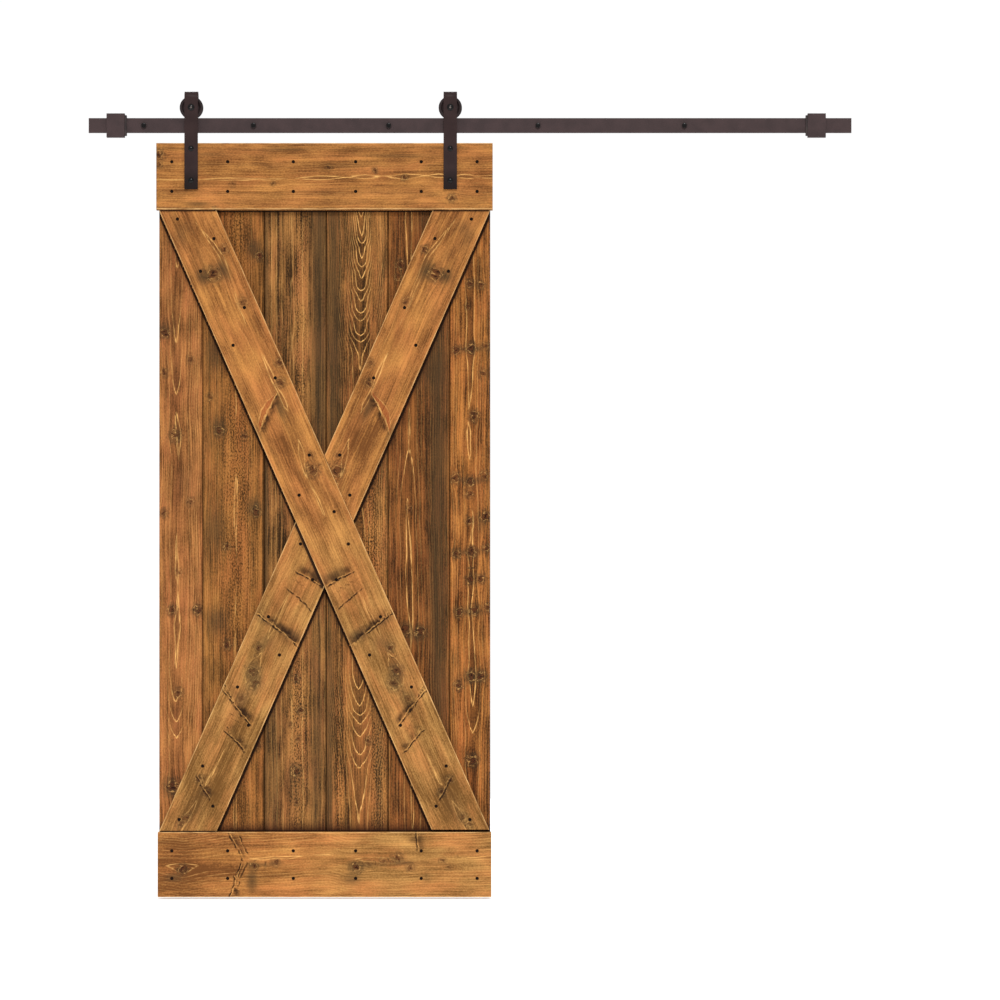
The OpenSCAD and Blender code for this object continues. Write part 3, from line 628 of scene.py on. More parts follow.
@dataclass
class Figure:
    """What a board's grain looks like. All places are (u, v) in mm from the middle of its face.

    rings: (u, how many rings down the pith lies there). A line starts or ends in a point wherever this
    crosses a whole number, and it makes nested arches where it keeps rising or falling.
    pith: (u, v) places of the middle line of the rings.
    spacing: mm from ring to ring; shows: (u, strength) of the rings by the middle line; width: mm to each
    side where they show; plain: strength of the straight grain elsewhere.
    knots: (u, v, radius, weight).
    cracks: (u, v, u, v, weight), with the smear on the right of the way; a pale crack's weight is negative.
    shades, smudges, rough: soft patches (u, v, half length, half width, amount).
    tint: (u, share) of the second colour pair."""

    seed: int
    rings: list
    pith: list
    spacing: float
    shows: list
    width: float
    plain: float
    knots: list = ()
    cracks: list = ()
    shades: list = ()
    smudges: list = ()
    rough: list = ()
    tint: list = ((0, 0),)

    @staticmethod
    def along(stops, u):
        places, values = zip(*sorted(stops))
        return np.interp(u, places, values)

    @staticmethod
    def patches(spots, u, v):
        total = np.zeros(len(u))
        for spot_u, spot_v, long, wide, amount in spots:
            total += amount * np.exp(-(((u - spot_u) / long) ** 2) - ((v - spot_v) / wide) ** 2)
        return total

    def knot_field(self, u, v):
        """Place in the nearest knot, in its radii, and the knot's weight."""
        field, best = np.zeros((len(u), 3)), np.full(len(u), 9.0)
        field[:, :2] = 9
        for knot_u, knot_v, radius, weight in self.knots:
            du, dv = (u - knot_u) / radius, (v - knot_v) / radius
            away = np.hypot(du * 0.6, dv)
            near = away < best
            best[near] = away[near]
            fade = np.clip((3.2 - away) / 0.8, 0, 1)
            field[near] = np.stack([du, dv, weight * fade], -1)[near]
        return field

    def crack_field(self, u, v):
        """Signed distance in mm to the nearest crack and the crack's weight."""
        field, best = np.zeros((len(u), 2)), np.full(len(u), 1e9)
        for u0, v0, u1, v1, weight in self.cracks:
            length = math.hypot(u1 - u0, v1 - v0)
            way_u, way_v = (u1 - u0) / length, (v1 - v0) / length
            share = ((u - u0) * way_u + (v - v0) * way_v) / length
            bow = 1.5 * np.sin(np.clip(share, 0, 1) * math.pi * 1.6 + u0)
            offset = (u - u0) * way_v - (v - v0) * way_u + bow
            if weight < 0:
                offset = np.where(offset < 0, offset / np.clip(np.sin(math.pi * share), 0.2, 1), offset)
            past = np.maximum(np.maximum(-share, share - 1) * length, 0)
            away = np.hypot(offset, past)
            near = away < best
            best[near] = away[near]
            fade = np.clip((34 - np.abs(offset)) / 8, 0, 1) * np.clip(1.1 - past / 9, 0, 1)
            ends = np.clip(np.minimum(share, 1 - share) * 5 + 0.6, 0, 1)
            field[near] = np.stack([offset, weight * fade * ends], -1)[near]
        return field

    def ring_field(self, u, v, w):
        """The place across the grain once it has bent round the knots, how far it is from the middle line,
        and the count of rings."""
        flow, seed = v.copy(), self.seed
        for knot_u, knot_v, radius, weight in self.knots:
            near = ((u - knot_u) / (3.4 * radius)) ** 2 + ((v - knot_v) / (1.5 * radius)) ** 2
            flow -= (v - knot_v) * 0.8 * min(1, weight * 1.5) * np.exp(-near)
        flow += 2.2 * wander(u, 150, seed + 5) + 1.0 * wander(u, 47, seed + 6)
        out = flow - self.along(self.pith, u) - 2 * wander(u, 210, seed + 7)
        depth = self.along(self.rings, u) + 0.05 * wander(u, 50, seed + 8) + w / self.spacing
        return flow, out, np.hypot(depth, out / self.spacing) + 0.012 * np.abs(out)

    def fields(self, u, v, w):
        """The attributes of points at u, v and w, as arrays of three numbers."""
        flow, out, ring = self.ring_field(u, v, w)
        slope = np.hypot(self.ring_field(u + 1, v, w)[2] - ring, self.ring_field(u, v + 1, w)[2] - ring)
        strength = self.plain * (0.8 + 0.7 * wander(flow, 7, self.seed + 9))
        strength = strength + np.exp(-((out / self.width) ** 2)) * self.along(self.shows, u)
        stain = [self.patches(self.smudges, u, v), self.along(self.tint, u), self.patches(self.rough, u, v)]
        return {
            "grain": np.stack([u + self.seed * 997, flow, w], -1),
            "figure": np.stack([ring, np.clip(strength, 0, 1), 0 * u], -1),
            "knot": self.knot_field(u, v),
            "crack": np.column_stack([self.crack_field(u, v), self.patches(self.shades, u, v)]),
            "stain": np.clip(np.stack(stain, -1), 0, 1),
            "slope": np.stack([np.maximum(slope, 0.004), 0 * u, 0 * u], -1),
        }


def dense(corners):
    """The closed outline through corners, (v, w, step), with the side after each split into pieces no
    longer than its step."""
    points = []
    for (v, w, step), (next_v, next_w, _) in zip(corners, corners[1:] + corners[:1]):
        count = max(1, math.ceil(math.dist((v, w), (next_v, next_w)) / step))
        points += [(v + (next_v - v) * k / count, w + (next_w - w) * k / count) for k in range(count)]
    return points


FACE_STEP, SIDE_STEP, BACK_STEP = 2.5, 6.0, 8.0
WHOLE = 9.0  # a side this short stays whole
BOARD_EASE = 1.5
JOINT_CHAMFER, PLANK_EASE, BACK_EASE = 3.0, 1.2, 1.0


def board_section(width):
    """A board's section, with its two front edges rounded."""
    h, e, t = width / 2, BOARD_EASE, BOARD_T
    knee = 0.3 * e
    return dense([(-h, t, SIDE_STEP), (-h, e, WHOLE), (-h + knee, knee, WHOLE), (-h + e, 0, FACE_STEP),
                  (h - e, 0, WHOLE), (h - knee, knee, WHOLE), (h, e, SIDE_STEP), (h, t, BACK_STEP)])


def plank_section(x0, x1, groove, tongue):
    """A plank's section from x0 to x1, with chamfered edges, a groove on its left and a tongue on its right
    where asked for."""
    middle, back = PLANK_T / 2, PLANK_T - BACK_EASE
    half_tongue, half_groove = TONGUE_T / 2, TONGUE_T / 2 + TONGUE_GAP
    tip, bed = x1 + TONGUE_L, x0 + TONGUE_L - PLANK_GAP + TONGUE_GAP
    ease = JOINT_CHAMFER if groove else PLANK_EASE
    sides = [(x0, ease, WHOLE), (x0 + ease, 0, FACE_STEP)]
    if tongue:
        low, high = middle - half_tongue, middle + half_tongue
        sides += [(x1 - JOINT_CHAMFER, 0, WHOLE), (x1, JOINT_CHAMFER, WHOLE), (x1, low, WHOLE),
                  (tip, low, WHOLE), (tip, high, WHOLE), (x1, high, WHOLE), (x1, back, WHOLE)]
    else:
        sides += [(x1 - PLANK_EASE, 0, WHOLE), (x1, PLANK_EASE, SIDE_STEP), (x1, back, WHOLE)]
    sides += [(x1 - BACK_EASE, PLANK_T, BACK_STEP), (x0 + BACK_EASE, PLANK_T, WHOLE)]
    if groove:
        low, high = middle - half_groove, middle + half_groove
        sides += [(x0, back, WHOLE), (x0, high, WHOLE), (bed, high, WHOLE), (bed, low, WHOLE),
                  (x0, low, WHOLE)]
    else:
        sides += [(x0, back, SIDE_STEP)]
    return dense(sides)


# ---- The figure of each board, seen from the front ----


# The two halves of a brace's figure, which the long brace and the two short ones share
HEAD = dict(
    rings=[(1000, 10.15), (925, 10), (800, 9.82), (700, 9.95), (590, 10.02), (565, 10.2), (505, 10),
        (440, 9.85), (345, 9.9), (332, 10.02), (300, 10.2), (243, 10), (200, 9.85), (125, 10.05), (112, 10),
        (60, 9.93), (20, 10), (0, 10.15)],
    pith=[(1000, -4), (925, 6), (805, 36), (600, 24), (500, 29), (330, 30), (240, 28), (150, 12), (0, 3)],
    shows=[(1000, 0.4), (925, 0.75), (800, 0.85), (700, 0.3), (600, 0.8), (500, 1), (330, 0.85), (240, 0.9),
        (200, 0.4), (113, 0.85), (20, 0.6), (0, 0.2)],
    knots=[(766, -6, 12, 1.0), (818, 50, 7, 0.8), (660, 38, 8, 0.6), (462, 64, 7, 0.7), (408, 44, 8, 0.8),
        (145, 26, 11, 0.9), (185, 42, 6, 0.5), (152, 50, 5, 0.5)],
    cracks=[(388, 22, 308, -66, -1.0)],
    shades=[(650, 0, 260, 60, 0.12), (330, -10, 120, 60, 0.04), (910, 0, 90, 80, -0.16),
        (230, -30, 80, 26, -0.2)],
    smudges=[(772, -36, 20, 18, 1.0), (766, 24, 30, 15, 0.95), (345, 14, 34, 13, 0.7),
        (918, -25, 25, 22, 0.3), (305, -70, 26, 8, 0.5), (895, -50, 30, 14, 0.3), (830, -20, 30, 16, 0.2)])
FOOT = dict(
    rings=[(0, 10.15), (-100, 10.15), (-235, 9.98), (-340, 9.85), (-390, 10.04), (-425, 9.9), (-470, 9.4),
        (-520, 10.1), (-640, 10.2), (-680, 9.98), (-816, 9.96), (-845, 10.15), (-866, 9.97), (-940, 9.85)],
    pith=[(-100, 0), (-240, 10), (-450, 16), (-600, 4), (-680, -4), (-816, 3), (-950, 22)],
    shows=[(-100, 0.15), (-240, 0.5), (-340, 0.5), (-430, 0.7), (-500, 0.6), (-600, 0.2), (-680, 0.7),
        (-800, 0.8), (-870, 0.5), (-940, 0.6)],
    knots=[(-402, 27, 7, 0.8), (-470, 15, 11, 0.7), (-500, -6, 12, 0.6), (-553, 12, 9, 0.4),
        (-838, -4, 7, 0.8), (-812, 30, 7, 0.6), (-925, 20, 8, 0.6), (-948, 28, 7, 0.7)],
    cracks=[(-168, -72, -160, 15, 0.9), (-242, -69, -212, 17, 0.5), (-350, -72, -312, 72, 1.0),
        (-608, -40, -548, 74, 1.0), (-684, -56, -652, 16, 0.9), (-848, -22, -806, 36, 0.8),
        (-323, 30, -298, 74, 0.6), (-337, -22, -364, -72, 0.5), (-576, 20, -532, 72, 0.6),
        (-666, -14, -642, 14, 0.6), (-826, 8, -796, 28, 0.6)],
    shades=[(-430, 0, 90, 50, -0.12), (-560, 60, 60, 30, 0.1), (-860, 0, 150, 90, -0.28),
        (-200, 0, 90, 80, 0.08)],
    smudges=[(-150, -40, 14, 34, 0.6), (-332, -42, 15, 32, 0.75), (-328, 40, 10, 30, 0.4),
        (-475, 10, 30, 22, 0.45), (-500, -8, 20, 12, 0.4), (-560, 12, 40, 22, 0.35), (-880, 10, 60, 30, 0.25),
        (-380, 10, 26, 30, 0.3)])
BRACE_LOOK = dict(spacing=5.5, width=13, plain=0.08, tint=[(150, 0), (-350, 1)])


def mirrored(kind, mark):
    """A mark of the long brace's figure, on a brace that leans the other way."""
    if kind == "cracks":
        u0, v0, u1, v1, weight = mark
        return u1, -v1, u0, -v0, weight
    return mark if kind in ("rings", "shows") else (mark[0], -mark[1], *mark[2:])


def half_brace(half, *shades):
    """The figure of a short brace, with shades of its own."""
    marks = {kind: [mirrored(kind, mark) for mark in half[kind]] for kind in half}
    marks["shades"] += shades
    return Figure(3, **marks, **BRACE_LOOK)


MAIN = Figure(3, **{kind: HEAD[kind] + FOOT[kind] for kind in HEAD}, **BRACE_LOOK)
MAIN.shades += [(20, 0, 150, 80, 0.06), (255, 30, 70, 40, 0.2)]
UPPER = half_brace(HEAD, (335, 0, 90, 80, -0.2))
LOWER = half_brace(FOOT, (-700, 0, 110, 80, -0.24), (-480, 0, 60, 80, 0.1))

TOP = Figure(
    21, spacing=4.2, width=10, plain=0.12,
    rings=[(-480, 9.93), (-130, 9.97), (-94, 10), (-20, 9.86), (52, 10), (62, 10.03), (72, 10), (113, 9.85),
        (155, 10), (170, 10.03), (185, 10), (232, 9.84), (278, 10), (288, 10), (325, 9.86), (362, 10),
        (374, 10), (400, 9.86), (430, 10), (480, 9.9)],
    pith=[(-480, -9), (-300, -8), (-100, -5), (480, 0)],
    shows=[(-480, 0.9), (-130, 0.7), (-60, 1), (300, 1), (480, 0.85)],
    knots=[(361, -60, 7, 0.9), (12, 27, 5, 0.8), (143, 17, 5, 0.8), (227, -3, 5, 0.8), (-470, 62, 9, 0.9),
        (-470, 36, 7, 0.8), (-310, -92, 5, 0.8), (-146, -20, 4, 0.6), (-260, -22, 5, 0.5)],
    # The last shade, a thin dark line along the lower edge below its painted highlight, is painted shade.
    shades=[(0, -62, 500, 26, 0.16), (0, -44, 420, 5, -0.3), (-200, 60, 130, 14, -0.25),
        (150, 70, 160, 12, -0.25), (0, 40, 480, 16, -0.08), (0, 80, 480, 10, -0.1), (0, -93, 900, 3, -0.7)],
    smudges=[(-360, -78, 34, 7, 0.55), (-120, 78, 60, 6, 0.35), (220, 58, 70, 7, 0.35),
        (-330, 62, 50, 6, 0.25), (40, 30, 60, 5, 0.3)])
BOTTOM = Figure(
    34, spacing=6.0, width=11, plain=0.2,
    rings=[(-480, 10.2), (-401, 9.7), (-330, 10.15), (-240, 10.02), (-190, 9.98), (16, 9.96), (60, 10.1),
        (120, 9.8), (200, 9.95), (300, 10.1), (480, 9.9)],
    pith=[(-480, 0), (-401, -12), (-224, 16), (16, 27), (60, 14), (200, 10), (480, 20)],
    shows=[(-480, 0.4), (-401, 0.6), (-240, 0.5), (-190, 0.9), (16, 0.9), (60, 0.4), (480, 0.5)],
    knots=[(-401, -12, 8, 0.9), (-200, -3, 7, 0.8), (-137, 6, 7, 0.7), (90, -8, 10, 1.0), (124, 3, 5, 0.4),
        (166, 9, 6, 0.6), (206, 18, 8, 0.8), (243, -8, 7, 0.6), (334, 12, 5, 0.6), (352, -8, 5, 0.5)],
    cracks=[(-229, 16, -266, 92, 0.85), (-266, -92, -232, 0, 1.0), (267, 42, 264, 92, 0.8),
        (-250, 92, -222, 30, 0.6), (-224, 6, -250, -60, 0.5), (-240, -44, -256, -30, 0.6)],
    shades=[(-100, 50, 120, 30, 0.2), (100, -50, 300, 40, 0.1), (380, 0, 130, 90, 0.05),
        (-400, -20, 150, 110, -0.42), (60, 70, 60, 14, 0.3), (230, 66, 30, 14, 0.25)],
    smudges=[(-205, -44, 14, 30, 0.85), (-425, -36, 26, 12, 0.6), (78, -40, 26, 16, 0.55),
        (290, -34, 10, 20, 0.3), (110, -2, 44, 8, 0.5), (210, 6, 40, 10, 0.4), (255, 72, 14, 10, 0.5),
        (-170, 0, 50, 6, 0.4)],
    tint=[(-480, 0), (-150, 0.2), (150, 1), (480, 1)])
PLANKS = [
    Figure(
        51, spacing=5.0, width=12, plain=0.16,
        pith=[(0, -11)],
        rings=[(1067, 6.8), (709, 8), (500, 9), (350, 10), (320, 10.12), (294, 10), (240, 9.9), (180, 10.02),
            (100, 10.15), (0, 10.1), (-49, 10), (-130, 9.9), (-195, 10.05), (-213, 10), (-300, 9.75),
            (-397, 10), (-420, 10), (-440, 10.1), (-520, 11), (-575, 12), (-617, 13), (-800, 13.4),
            (-1067, 13.4)],
        shows=[(1067, 0.2), (800, 0.6), (300, 0.9), (100, 0.5), (-200, 1), (-640, 1), (-760, 0.3)],
        knots=[(531, -46, 9, 0.9), (418, -48, 7, 0.7), (454, 27, 7, 0.5), (240, -16, 10, 1), (53, 27, 7, 0.6),
            (19, -48, 7, 0.8), (-148, -6, 6, 0.5), (-255, -27, 8, 0.9), (-255, 50, 9, 1), (-490, -6, 8, 0.8),
            (-756, -24, 12, 1)],
        smudges=[(545, -46, 26, 18, 0.5), (110, 10, 60, 30, 0.25), (-760, -24, 30, 20, 0.5),
            (-255, 48, 8, 26, 0.4)],
        shades=[(0, 0, 400, 60, 0.05), (-350, 10, 260, 60, 0.14), (-700, 20, 200, 40, 0.08),
            (900, 0, 200, 70, -0.1), (0, 66, 1100, 5, 0.25), (150, 0, 160, 60, -0.1)]),
    Figure(
        67, spacing=5.0, width=10, plain=0.12,
        pith=[(0, 5)],
        rings=[(1067, 10), (300, 9.95), (200, 10.1), (100, 9.9), (-200, 10.05), (-600, 9.9), (-1067, 10)],
        shows=[(1067, 0.35), (300, 0.4), (200, 0.7), (0, 0.35), (-400, 0.35), (-1067, 0.3)],
        knots=[(748, 74, 8, 1), (253, -39, 9, 0.9), (238, 31, 6, 0.8), (25, 63, 9, 0.9), (348, -66, 6, 0.6),
            (-353, -19, 8, 0.8), (-635, 66, 9, 0.9), (-75, -20, 7, 0.8)],
        smudges=[(772, 58, 22, 18, 0.8), (268, -44, 26, 22, 0.6), (38, 60, 26, 20, 0.65),
            (472, -54, 48, 24, 0.6), (-25, -52, 60, 30, 0.55), (-286, -46, 34, 28, 0.7)],
        rough=[(180, 10, 190, 34, 0.8), (820, 12, 110, 30, 0.6), (-160, 10, 230, 44, 0.45),
            (-850, 0, 200, 60, 0.3)],
        shades=[(180, 6, 220, 30, 0.28), (-160, 20, 180, 40, 0.12), (0, 79, 1200, 4, 0.3),
            (0, 84, 1200, 4, -0.6)]),
    Figure(
        79, spacing=11.0, width=30, plain=0.3,
        pith=[(0, -8)],
        rings=[(1067, 5), (0, 4.9), (-1067, 5.1)],
        shows=[(1067, 0.1), (-400, 0.2), (-1067, 0.35)],
        knots=[(-450, 2, 7, 0.9), (-540, 14, 7, 0.9), (-712, 2, 9, 1), (-620, 8, 5, 0.6), (-800, 4, 5, 0.6),
            (-580, -14, 5, 0.5)],
        smudges=[(600, 68, 700, 20, 0.85), (0, -84, 1200, 7, 0.75), (-700, 60, 400, 18, 0.45),
            (-700, -60, 400, 16, 0.35), (-740, 0, 60, 20, 0.4)],
        shades=[(560, 16, 330, 13, 0.6), (700, 36, 60, 22, 0.3), (520, 40, 60, 18, 0.25),
            (-650, 6, 300, 20, 0.25), (0, -40, 1100, 12, -0.12), (700, -64, 200, 3, 0.5),
            (700, 0, 420, 60, -0.14), (0, 0, 200, 60, -0.12)],
        rough=[(560, 16, 330, 12, 0.7), (-620, 8, 240, 18, 1.0)]),
    Figure(
        88, spacing=4.6, width=20, plain=0.22,
        pith=[(1067, 14), (300, 10), (-1067, 6)],
        rings=[(1067, 1.2), (880, 2.4), (850, 3.3), (800, 4.1), (775, 5.5), (735, 6.1), (705, 7.6),
            (660, 8.4), (640, 9.6), (600, 10.4), (565, 12), (530, 12.6), (500, 14.2), (469, 14.9),
            (300, 15.2), (-300, 12), (-440, 12.2), (-490, 13.2), (-540, 14.3), (-565, 15.6), (-614, 17),
            (-650, 17.5), (-700, 19), (-829, 20), (-1067, 20.4)],
        shows=[(1067, 0.5), (900, 0.85), (460, 0.85), (380, 0.4), (-300, 0.5), (-480, 1), (-860, 1),
            (-1000, 0.6)],
        knots=[(-625, 32, 6, 0.7), (330, 0, 6, 0.5)],
        smudges=[(500, -68, 560, 20, 0.85), (-700, -80, 400, 12, 0.75), (-700, 60, 300, 14, 0.35)],
        shades=[(0, -50, 1100, 18, -0.25), (-600, 10, 260, 30, 0.16), (650, 0, 420, 70, -0.12)],
        rough=[(-100, 40, 200, 30, 0.7), (-700, 60, 260, 18, 0.8), (-700, -50, 200, 14, 0.5)]),
    Figure(
        95, spacing=6.0, width=15, plain=0.16,
        pith=[(0, -28), (-400, -22), (-1067, -16)],
        rings=[(1067, 9.9), (840, 9.8), (500, 10.1), (208, 10), (54, 9), (-200, 8.75), (-357, 9),
            (-500, 9.15), (-724, 8.98), (-800, 8.9), (-871, 9.02), (-1067, 9.2)],
        shows=[(1067, 0.8), (300, 0.6), (200, 0.9), (-400, 0.8), (-700, 0.9), (-1067, 0.6)],
        knots=[(723, -52, 9, 0.8), (-310, -39, 10, 1), (-318, 3, 10, 1), (690, -58, 7, 0.6),
            (30, -26, 6, 0.7)],
        smudges=[(0, 56, 900, 24, 0.75), (430, 20, 60, 50, 0.5), (900, 30, 200, 40, 0.3),
            (-330, -20, 20, 30, 0.4)],
        shades=[(0, 40, 1100, 30, -0.2), (0, 0, 260, 60, -0.16), (200, -34, 300, 16, 0.1),
            (100, -16, 700, 2.5, 0.6), (100, -33, 700, 2.5, 0.5)]),
    Figure(
        107, spacing=5.0, width=12, plain=0.18,
        pith=[(1067, -4), (0, 2), (-1067, 12)],
        rings=[(1067, 9.2), (500, 9.7), (313, 10), (290, 10.04), (250, 9.9), (160, 10), (100, 10.1),
            (0, 9.95), (-300, 9.85), (-440, 9.7), (-534, 10), (-602, 11), (-700, 11.3), (-1067, 11.4)],
        shows=[(1067, 0.5), (500, 0.8), (-300, 0.9), (-640, 1), (-1067, 0.5)],
        knots=[(670, 0, 7, 0.9), (666, 32, 7, 0.9), (604, -8, 5, 0.7), (482, -38, 8, 0.9), (486, 4, 9, 1),
            (494, 44, 7, 0.7), (416, 36, 7, 0.7), (295, 12, 9, 1), (118, -40, 9, 0.9), (108, 0, 8, 1),
            (126, 42, 8, 0.7), (73, -2, 7, 0.8), (-1, -2, 7, 0.9), (11, 43, 9, 1), (-96, -38, 8, 1),
            (-92, 4, 9, 0.9), (-80, 46, 7, 0.8), (-169, 0, 8, 1), (-166, 30, 8, 1), (-262, -30, 8, 0.9),
            (-256, 12, 9, 1), (-247, 50, 7, 0.8), (-442, 4, 9, 1), (-442, 30, 9, 1), (-467, -31, 8, 0.9),
            (-681, 6, 11, 1), (840, 30, 7, 0.6), (-820, -20, 8, 0.5)],
        smudges=[(-260, 0, 9, 50, 0.5), (112, 0, 9, 50, 0.5), (-445, 10, 18, 34, 0.6), (485, 0, 9, 50, 0.45),
            (-91, 0, 9, 50, 0.35), (-10, 30, 24, 16, 0.35)],
        shades=[(500, -30, 300, 24, 0.14), (-700, 0, 300, 50, -0.12), (0, 50, 1100, 7, -0.2)]),
]

# Deep and pale screen colours. The front boards have a second pair, for where their tint is 1
HONEY = ((110, 66, 30), (207, 141, 73), (108, 72, 32), (202, 149, 83))
PLANK_COLOURS = [
    ((92, 54, 24), (191, 126, 69)), ((72, 44, 16), (172, 113, 55)), ((52, 34, 14), (180, 124, 66)),
    ((58, 36, 14), (182, 121, 62)), ((54, 30, 10), (162, 101, 49)), ((70, 38, 12), (194, 124, 60)),
]
# The last of these is how far the front boards' edges are rubbed pale, partly as a painted highlight.
BOARD_STREAKS, PLANK_STREAKS, BOARD_WEAR_AND_HIGHLIGHT = 0.62, 0.92, 0.85
PITH_DEPTH = 60  # how deep the middle of the rings on a sawn end lies below the face


def brace_frame(turn):
    """The directions along and across a brace; turn is 1 for the long one's slope and -1 for the others."""
    c, s = math.cos(BRACE_ANGLE), math.sin(BRACE_ANGLE)
    return Vector((-turn * s, 0, c)), Vector((c, 0, turn * s))


def level_end(z, turn):
    """Where a level cut at height z crosses a brace, as u = a + b v."""
    return (z - FIELD_MID_Z) / math.cos(BRACE_ANGLE), -turn * math.tan(BRACE_ANGLE)


def brace_end(side):
    """Where a half brace meets the long one, on its upper side (1) or lower side (-1), as u = a + b v."""
    turn = 2 * BRACE_ANGLE
    return side * (BRACE_W / 2 + BUTT_GAP) / math.sin(turn), -math.cos(turn) / math.sin(turn)


def level_boards():
    made = []
    for name, low, high, figure in (("top_board", TOP_LOW, TOP_HIGH, TOP),
                                    ("bottom_board", BOTTOM_LOW, BOTTOM_HIGH, BOTTOM)):
        (x, z), half = axis(low, high), (high.x - low.x) / 2
        made.append(Board(name, (x, BOARD_FRONT_Y, z), RIGHT, UP, board_section(high.z - low.z),
                          ((-half, 0), (half, 0)), BOARD_T, figure))
    return made


def braces():
    middle, section = (LEAF_X, BOARD_FRONT_Y, FIELD_MID_Z), board_section(BRACE_W)
    foot, top = low_high("main_brace")[0].z, FIELD_TOP - BUTT_GAP
    return [Board(name, middle, *brace_frame(turn), section, ends, BOARD_T, figure)
            for name, turn, ends, figure in (
                ("main_brace", 1, (level_end(foot, 1), level_end(top, 1)), MAIN),
                ("upper_brace", -1, (brace_end(1), level_end(top, -1)), UPPER),
                ("lower_brace", -1, (level_end(FIELD_BOTTOM + BUTT_GAP, -1), brace_end(-1)), LOWER))]


def planks():
    made = []
    for i, figure in enumerate(PLANKS, start=1):
        name = f"plank_{i}"
        low, high = low_high(name)
        x0, x1 = low.x, high.x - (TONGUE_L if i < PLANK_COUNT else 0)
        x, z, half = (x0 + x1) / 2, (low.z + high.z) / 2, (high.z - low.z) / 2
        section = plank_section(x0 - x, x1 - x, i > 1, i < PLANK_COUNT)
        made.append(Board(name, (x, PLANK_FRONT_Y, z), UP, RIGHT, section, ((-half, 0), (half, 0)), PLANK_T,
                          figure))
    return made


FAR = 60.0  # a distance in mm from which no edge shows
TOP_HIGHLIGHT_IN = 4.0  # how far in from the top board's lower edge its pale line lies, a painted highlight


def from_brace(points, side):
    """Distance in mm out from the long brace's lower left side (-1) or the short ones' right side (1)."""
    x, z = points[:, 0] - LEAF_X, points[:, 2] - FIELD_MID_Z
    out = side * x * math.cos(BRACE_ANGLE) - z * math.sin(BRACE_ANGLE) - BRACE_W / 2
    return np.where(out > -1, np.abs(out), FAR)


def plank_edges(points, u, v, w):
    """The painted shade in the corners that the braces and boards make on the planks, and the painted shade
    at their foot.
    """
    under_top = np.clip(FIELD_TOP - points[:, 2], 0, FAR) * 2
    above_bottom = np.clip(points[:, 2] - FIELD_BOTTOM, 0, FAR)
    # Painted shadow: dark lines beside the braces, under the top board and above the bottom board.
    shade = np.minimum.reduce([from_brace(points, -1), from_brace(points, 1), under_top, above_bottom * 1.6])
    # Painted shade that darkens the foot of the planks above the bottom board.
    foot = 0.85 * np.clip(1.35 - above_bottom / 24, 0, 1)
    face = w < SIDE_DEPTH
    return np.where(face, np.clip(shade, 0, FAR), FAR), 0 * u + FAR, np.where(face, foot, 0)


def board_edges(board):
    """The edges that are rubbed on a front board, whose pale line is partly a painted highlight, the painted
    shade in the joints at a brace's ends, and the painted shadow in the corner that the long brace makes on
    the lower one."""
    def edges(points, u, v, w):
        # Pale rubbed edges, partly a painted highlight.
        rub_and_highlight = np.clip(board.half - np.abs(v), 0, FAR)
        if board.figure is TOP:
            # On the top board's lower edge the pale line is a painted highlight, set a little in from the
            # edge.
            rub_and_highlight = np.where(v < 0, 1.3 * (v + board.half - TOP_HIGHLIGHT_IN), rub_and_highlight)
        # Painted shadow of the long brace on the lower one.
        shade = from_brace(points, -1) if board.figure is LOWER else 0 * u + FAR
        if board.along is not RIGHT:
            # Painted shade in the joints at a brace's ends.
            joint = np.minimum(FIELD_TOP - points[:, 2], points[:, 2] - FIELD_BOTTOM)
            shade = np.minimum(shade, 2.2 * np.clip(joint, 0, FAR))
        return shade, rub_and_highlight + np.clip(w - 1.5, 0, FAR), 0 * u
    return edges


SCREW_R, RECESS_R, RECESS_DEPTH = 4.3, 4.9, 2.4
SCREW_SINK = 0.9


def screw_spots(board_name):
    return [axis(low, high) for low, high in islands(board_name + "_screws")]


def add_leaf():
    """The boards, with small round pits for the screws in the front ones."""
    for board in level_boards() + braces() + planks():
        node, is_plank = board.name, board.name.startswith("plank")
        if is_plank:
            deep, pale = PLANK_COLOURS[int(node[-1]) - 1]
            face = wood(node + "_wood", deep, pale, deep, pale, PLANK_STREAKS)
        else:
            deep, pale = HONEY[:2]
            face = wood(node + "_wood", *HONEY, BOARD_STREAKS, BOARD_WEAR_AND_HIGHLIGHT)
        pith = Vector(board.middle) + PITH_DEPTH * INWARD
        ends = end_grain(node + "_ends", deep, pale, pith, RIGHT if board.along is RIGHT else UP)
        board.name += "_timber"
        piece = board.build([face, ends])
        if not is_plank:
            cut(piece, join("pits", [rod("pit", RECESS_R, 2 * RECESS_DEPTH, (x, BOARD_FRONT_Y, z))
                                     for x, z in screw_spots(node)]))
        board.dress(piece, plank_edges if is_plank else board_edges(board))
        settle(piece, "door", node)


add_leaf()

# ---- Metal and rubber ----


def coated(name, colour, dark, rough, orange_peel, shine, foot=None):
    """Powder-coated steel: a fine orange peel, faint clouds and a few darker specks. Where a foot colour is
    given, the lowest fifth of the piece darkens to it as a painted shade."""
    s = Shader(name)
    place = s.places()
    cloud = s.noise(place, 0.035, 3)
    specks = s.curve(s.noise(place, 0.0022, 2), [(0.6, 0), (0.72, 0.6)])
    base = s.mix(s.curve(cloud, [(0.35, 0), (0.65, 1)]), rgb(*dark), rgb(*colour))
    base = s.mix(specks, base, darker(dark, 0.7))
    # Painted shade: darker towards the foot of the piece.
    if foot:
        height = s.split(s.places("Generated"))[2]
        base = s.mix(s.curve(height, [(0.0, 0.9), (0.1, 0.75), (0.22, 0)]), base, rgb(*foot))
    return s.finish(Base_Color=base, Roughness=cloud * 0.2 + (rough - 0.1), Specular_IOR_Level=shine,
                    Normal=s.bump(s.noise(place, 0.0011, 2), orange_peel))


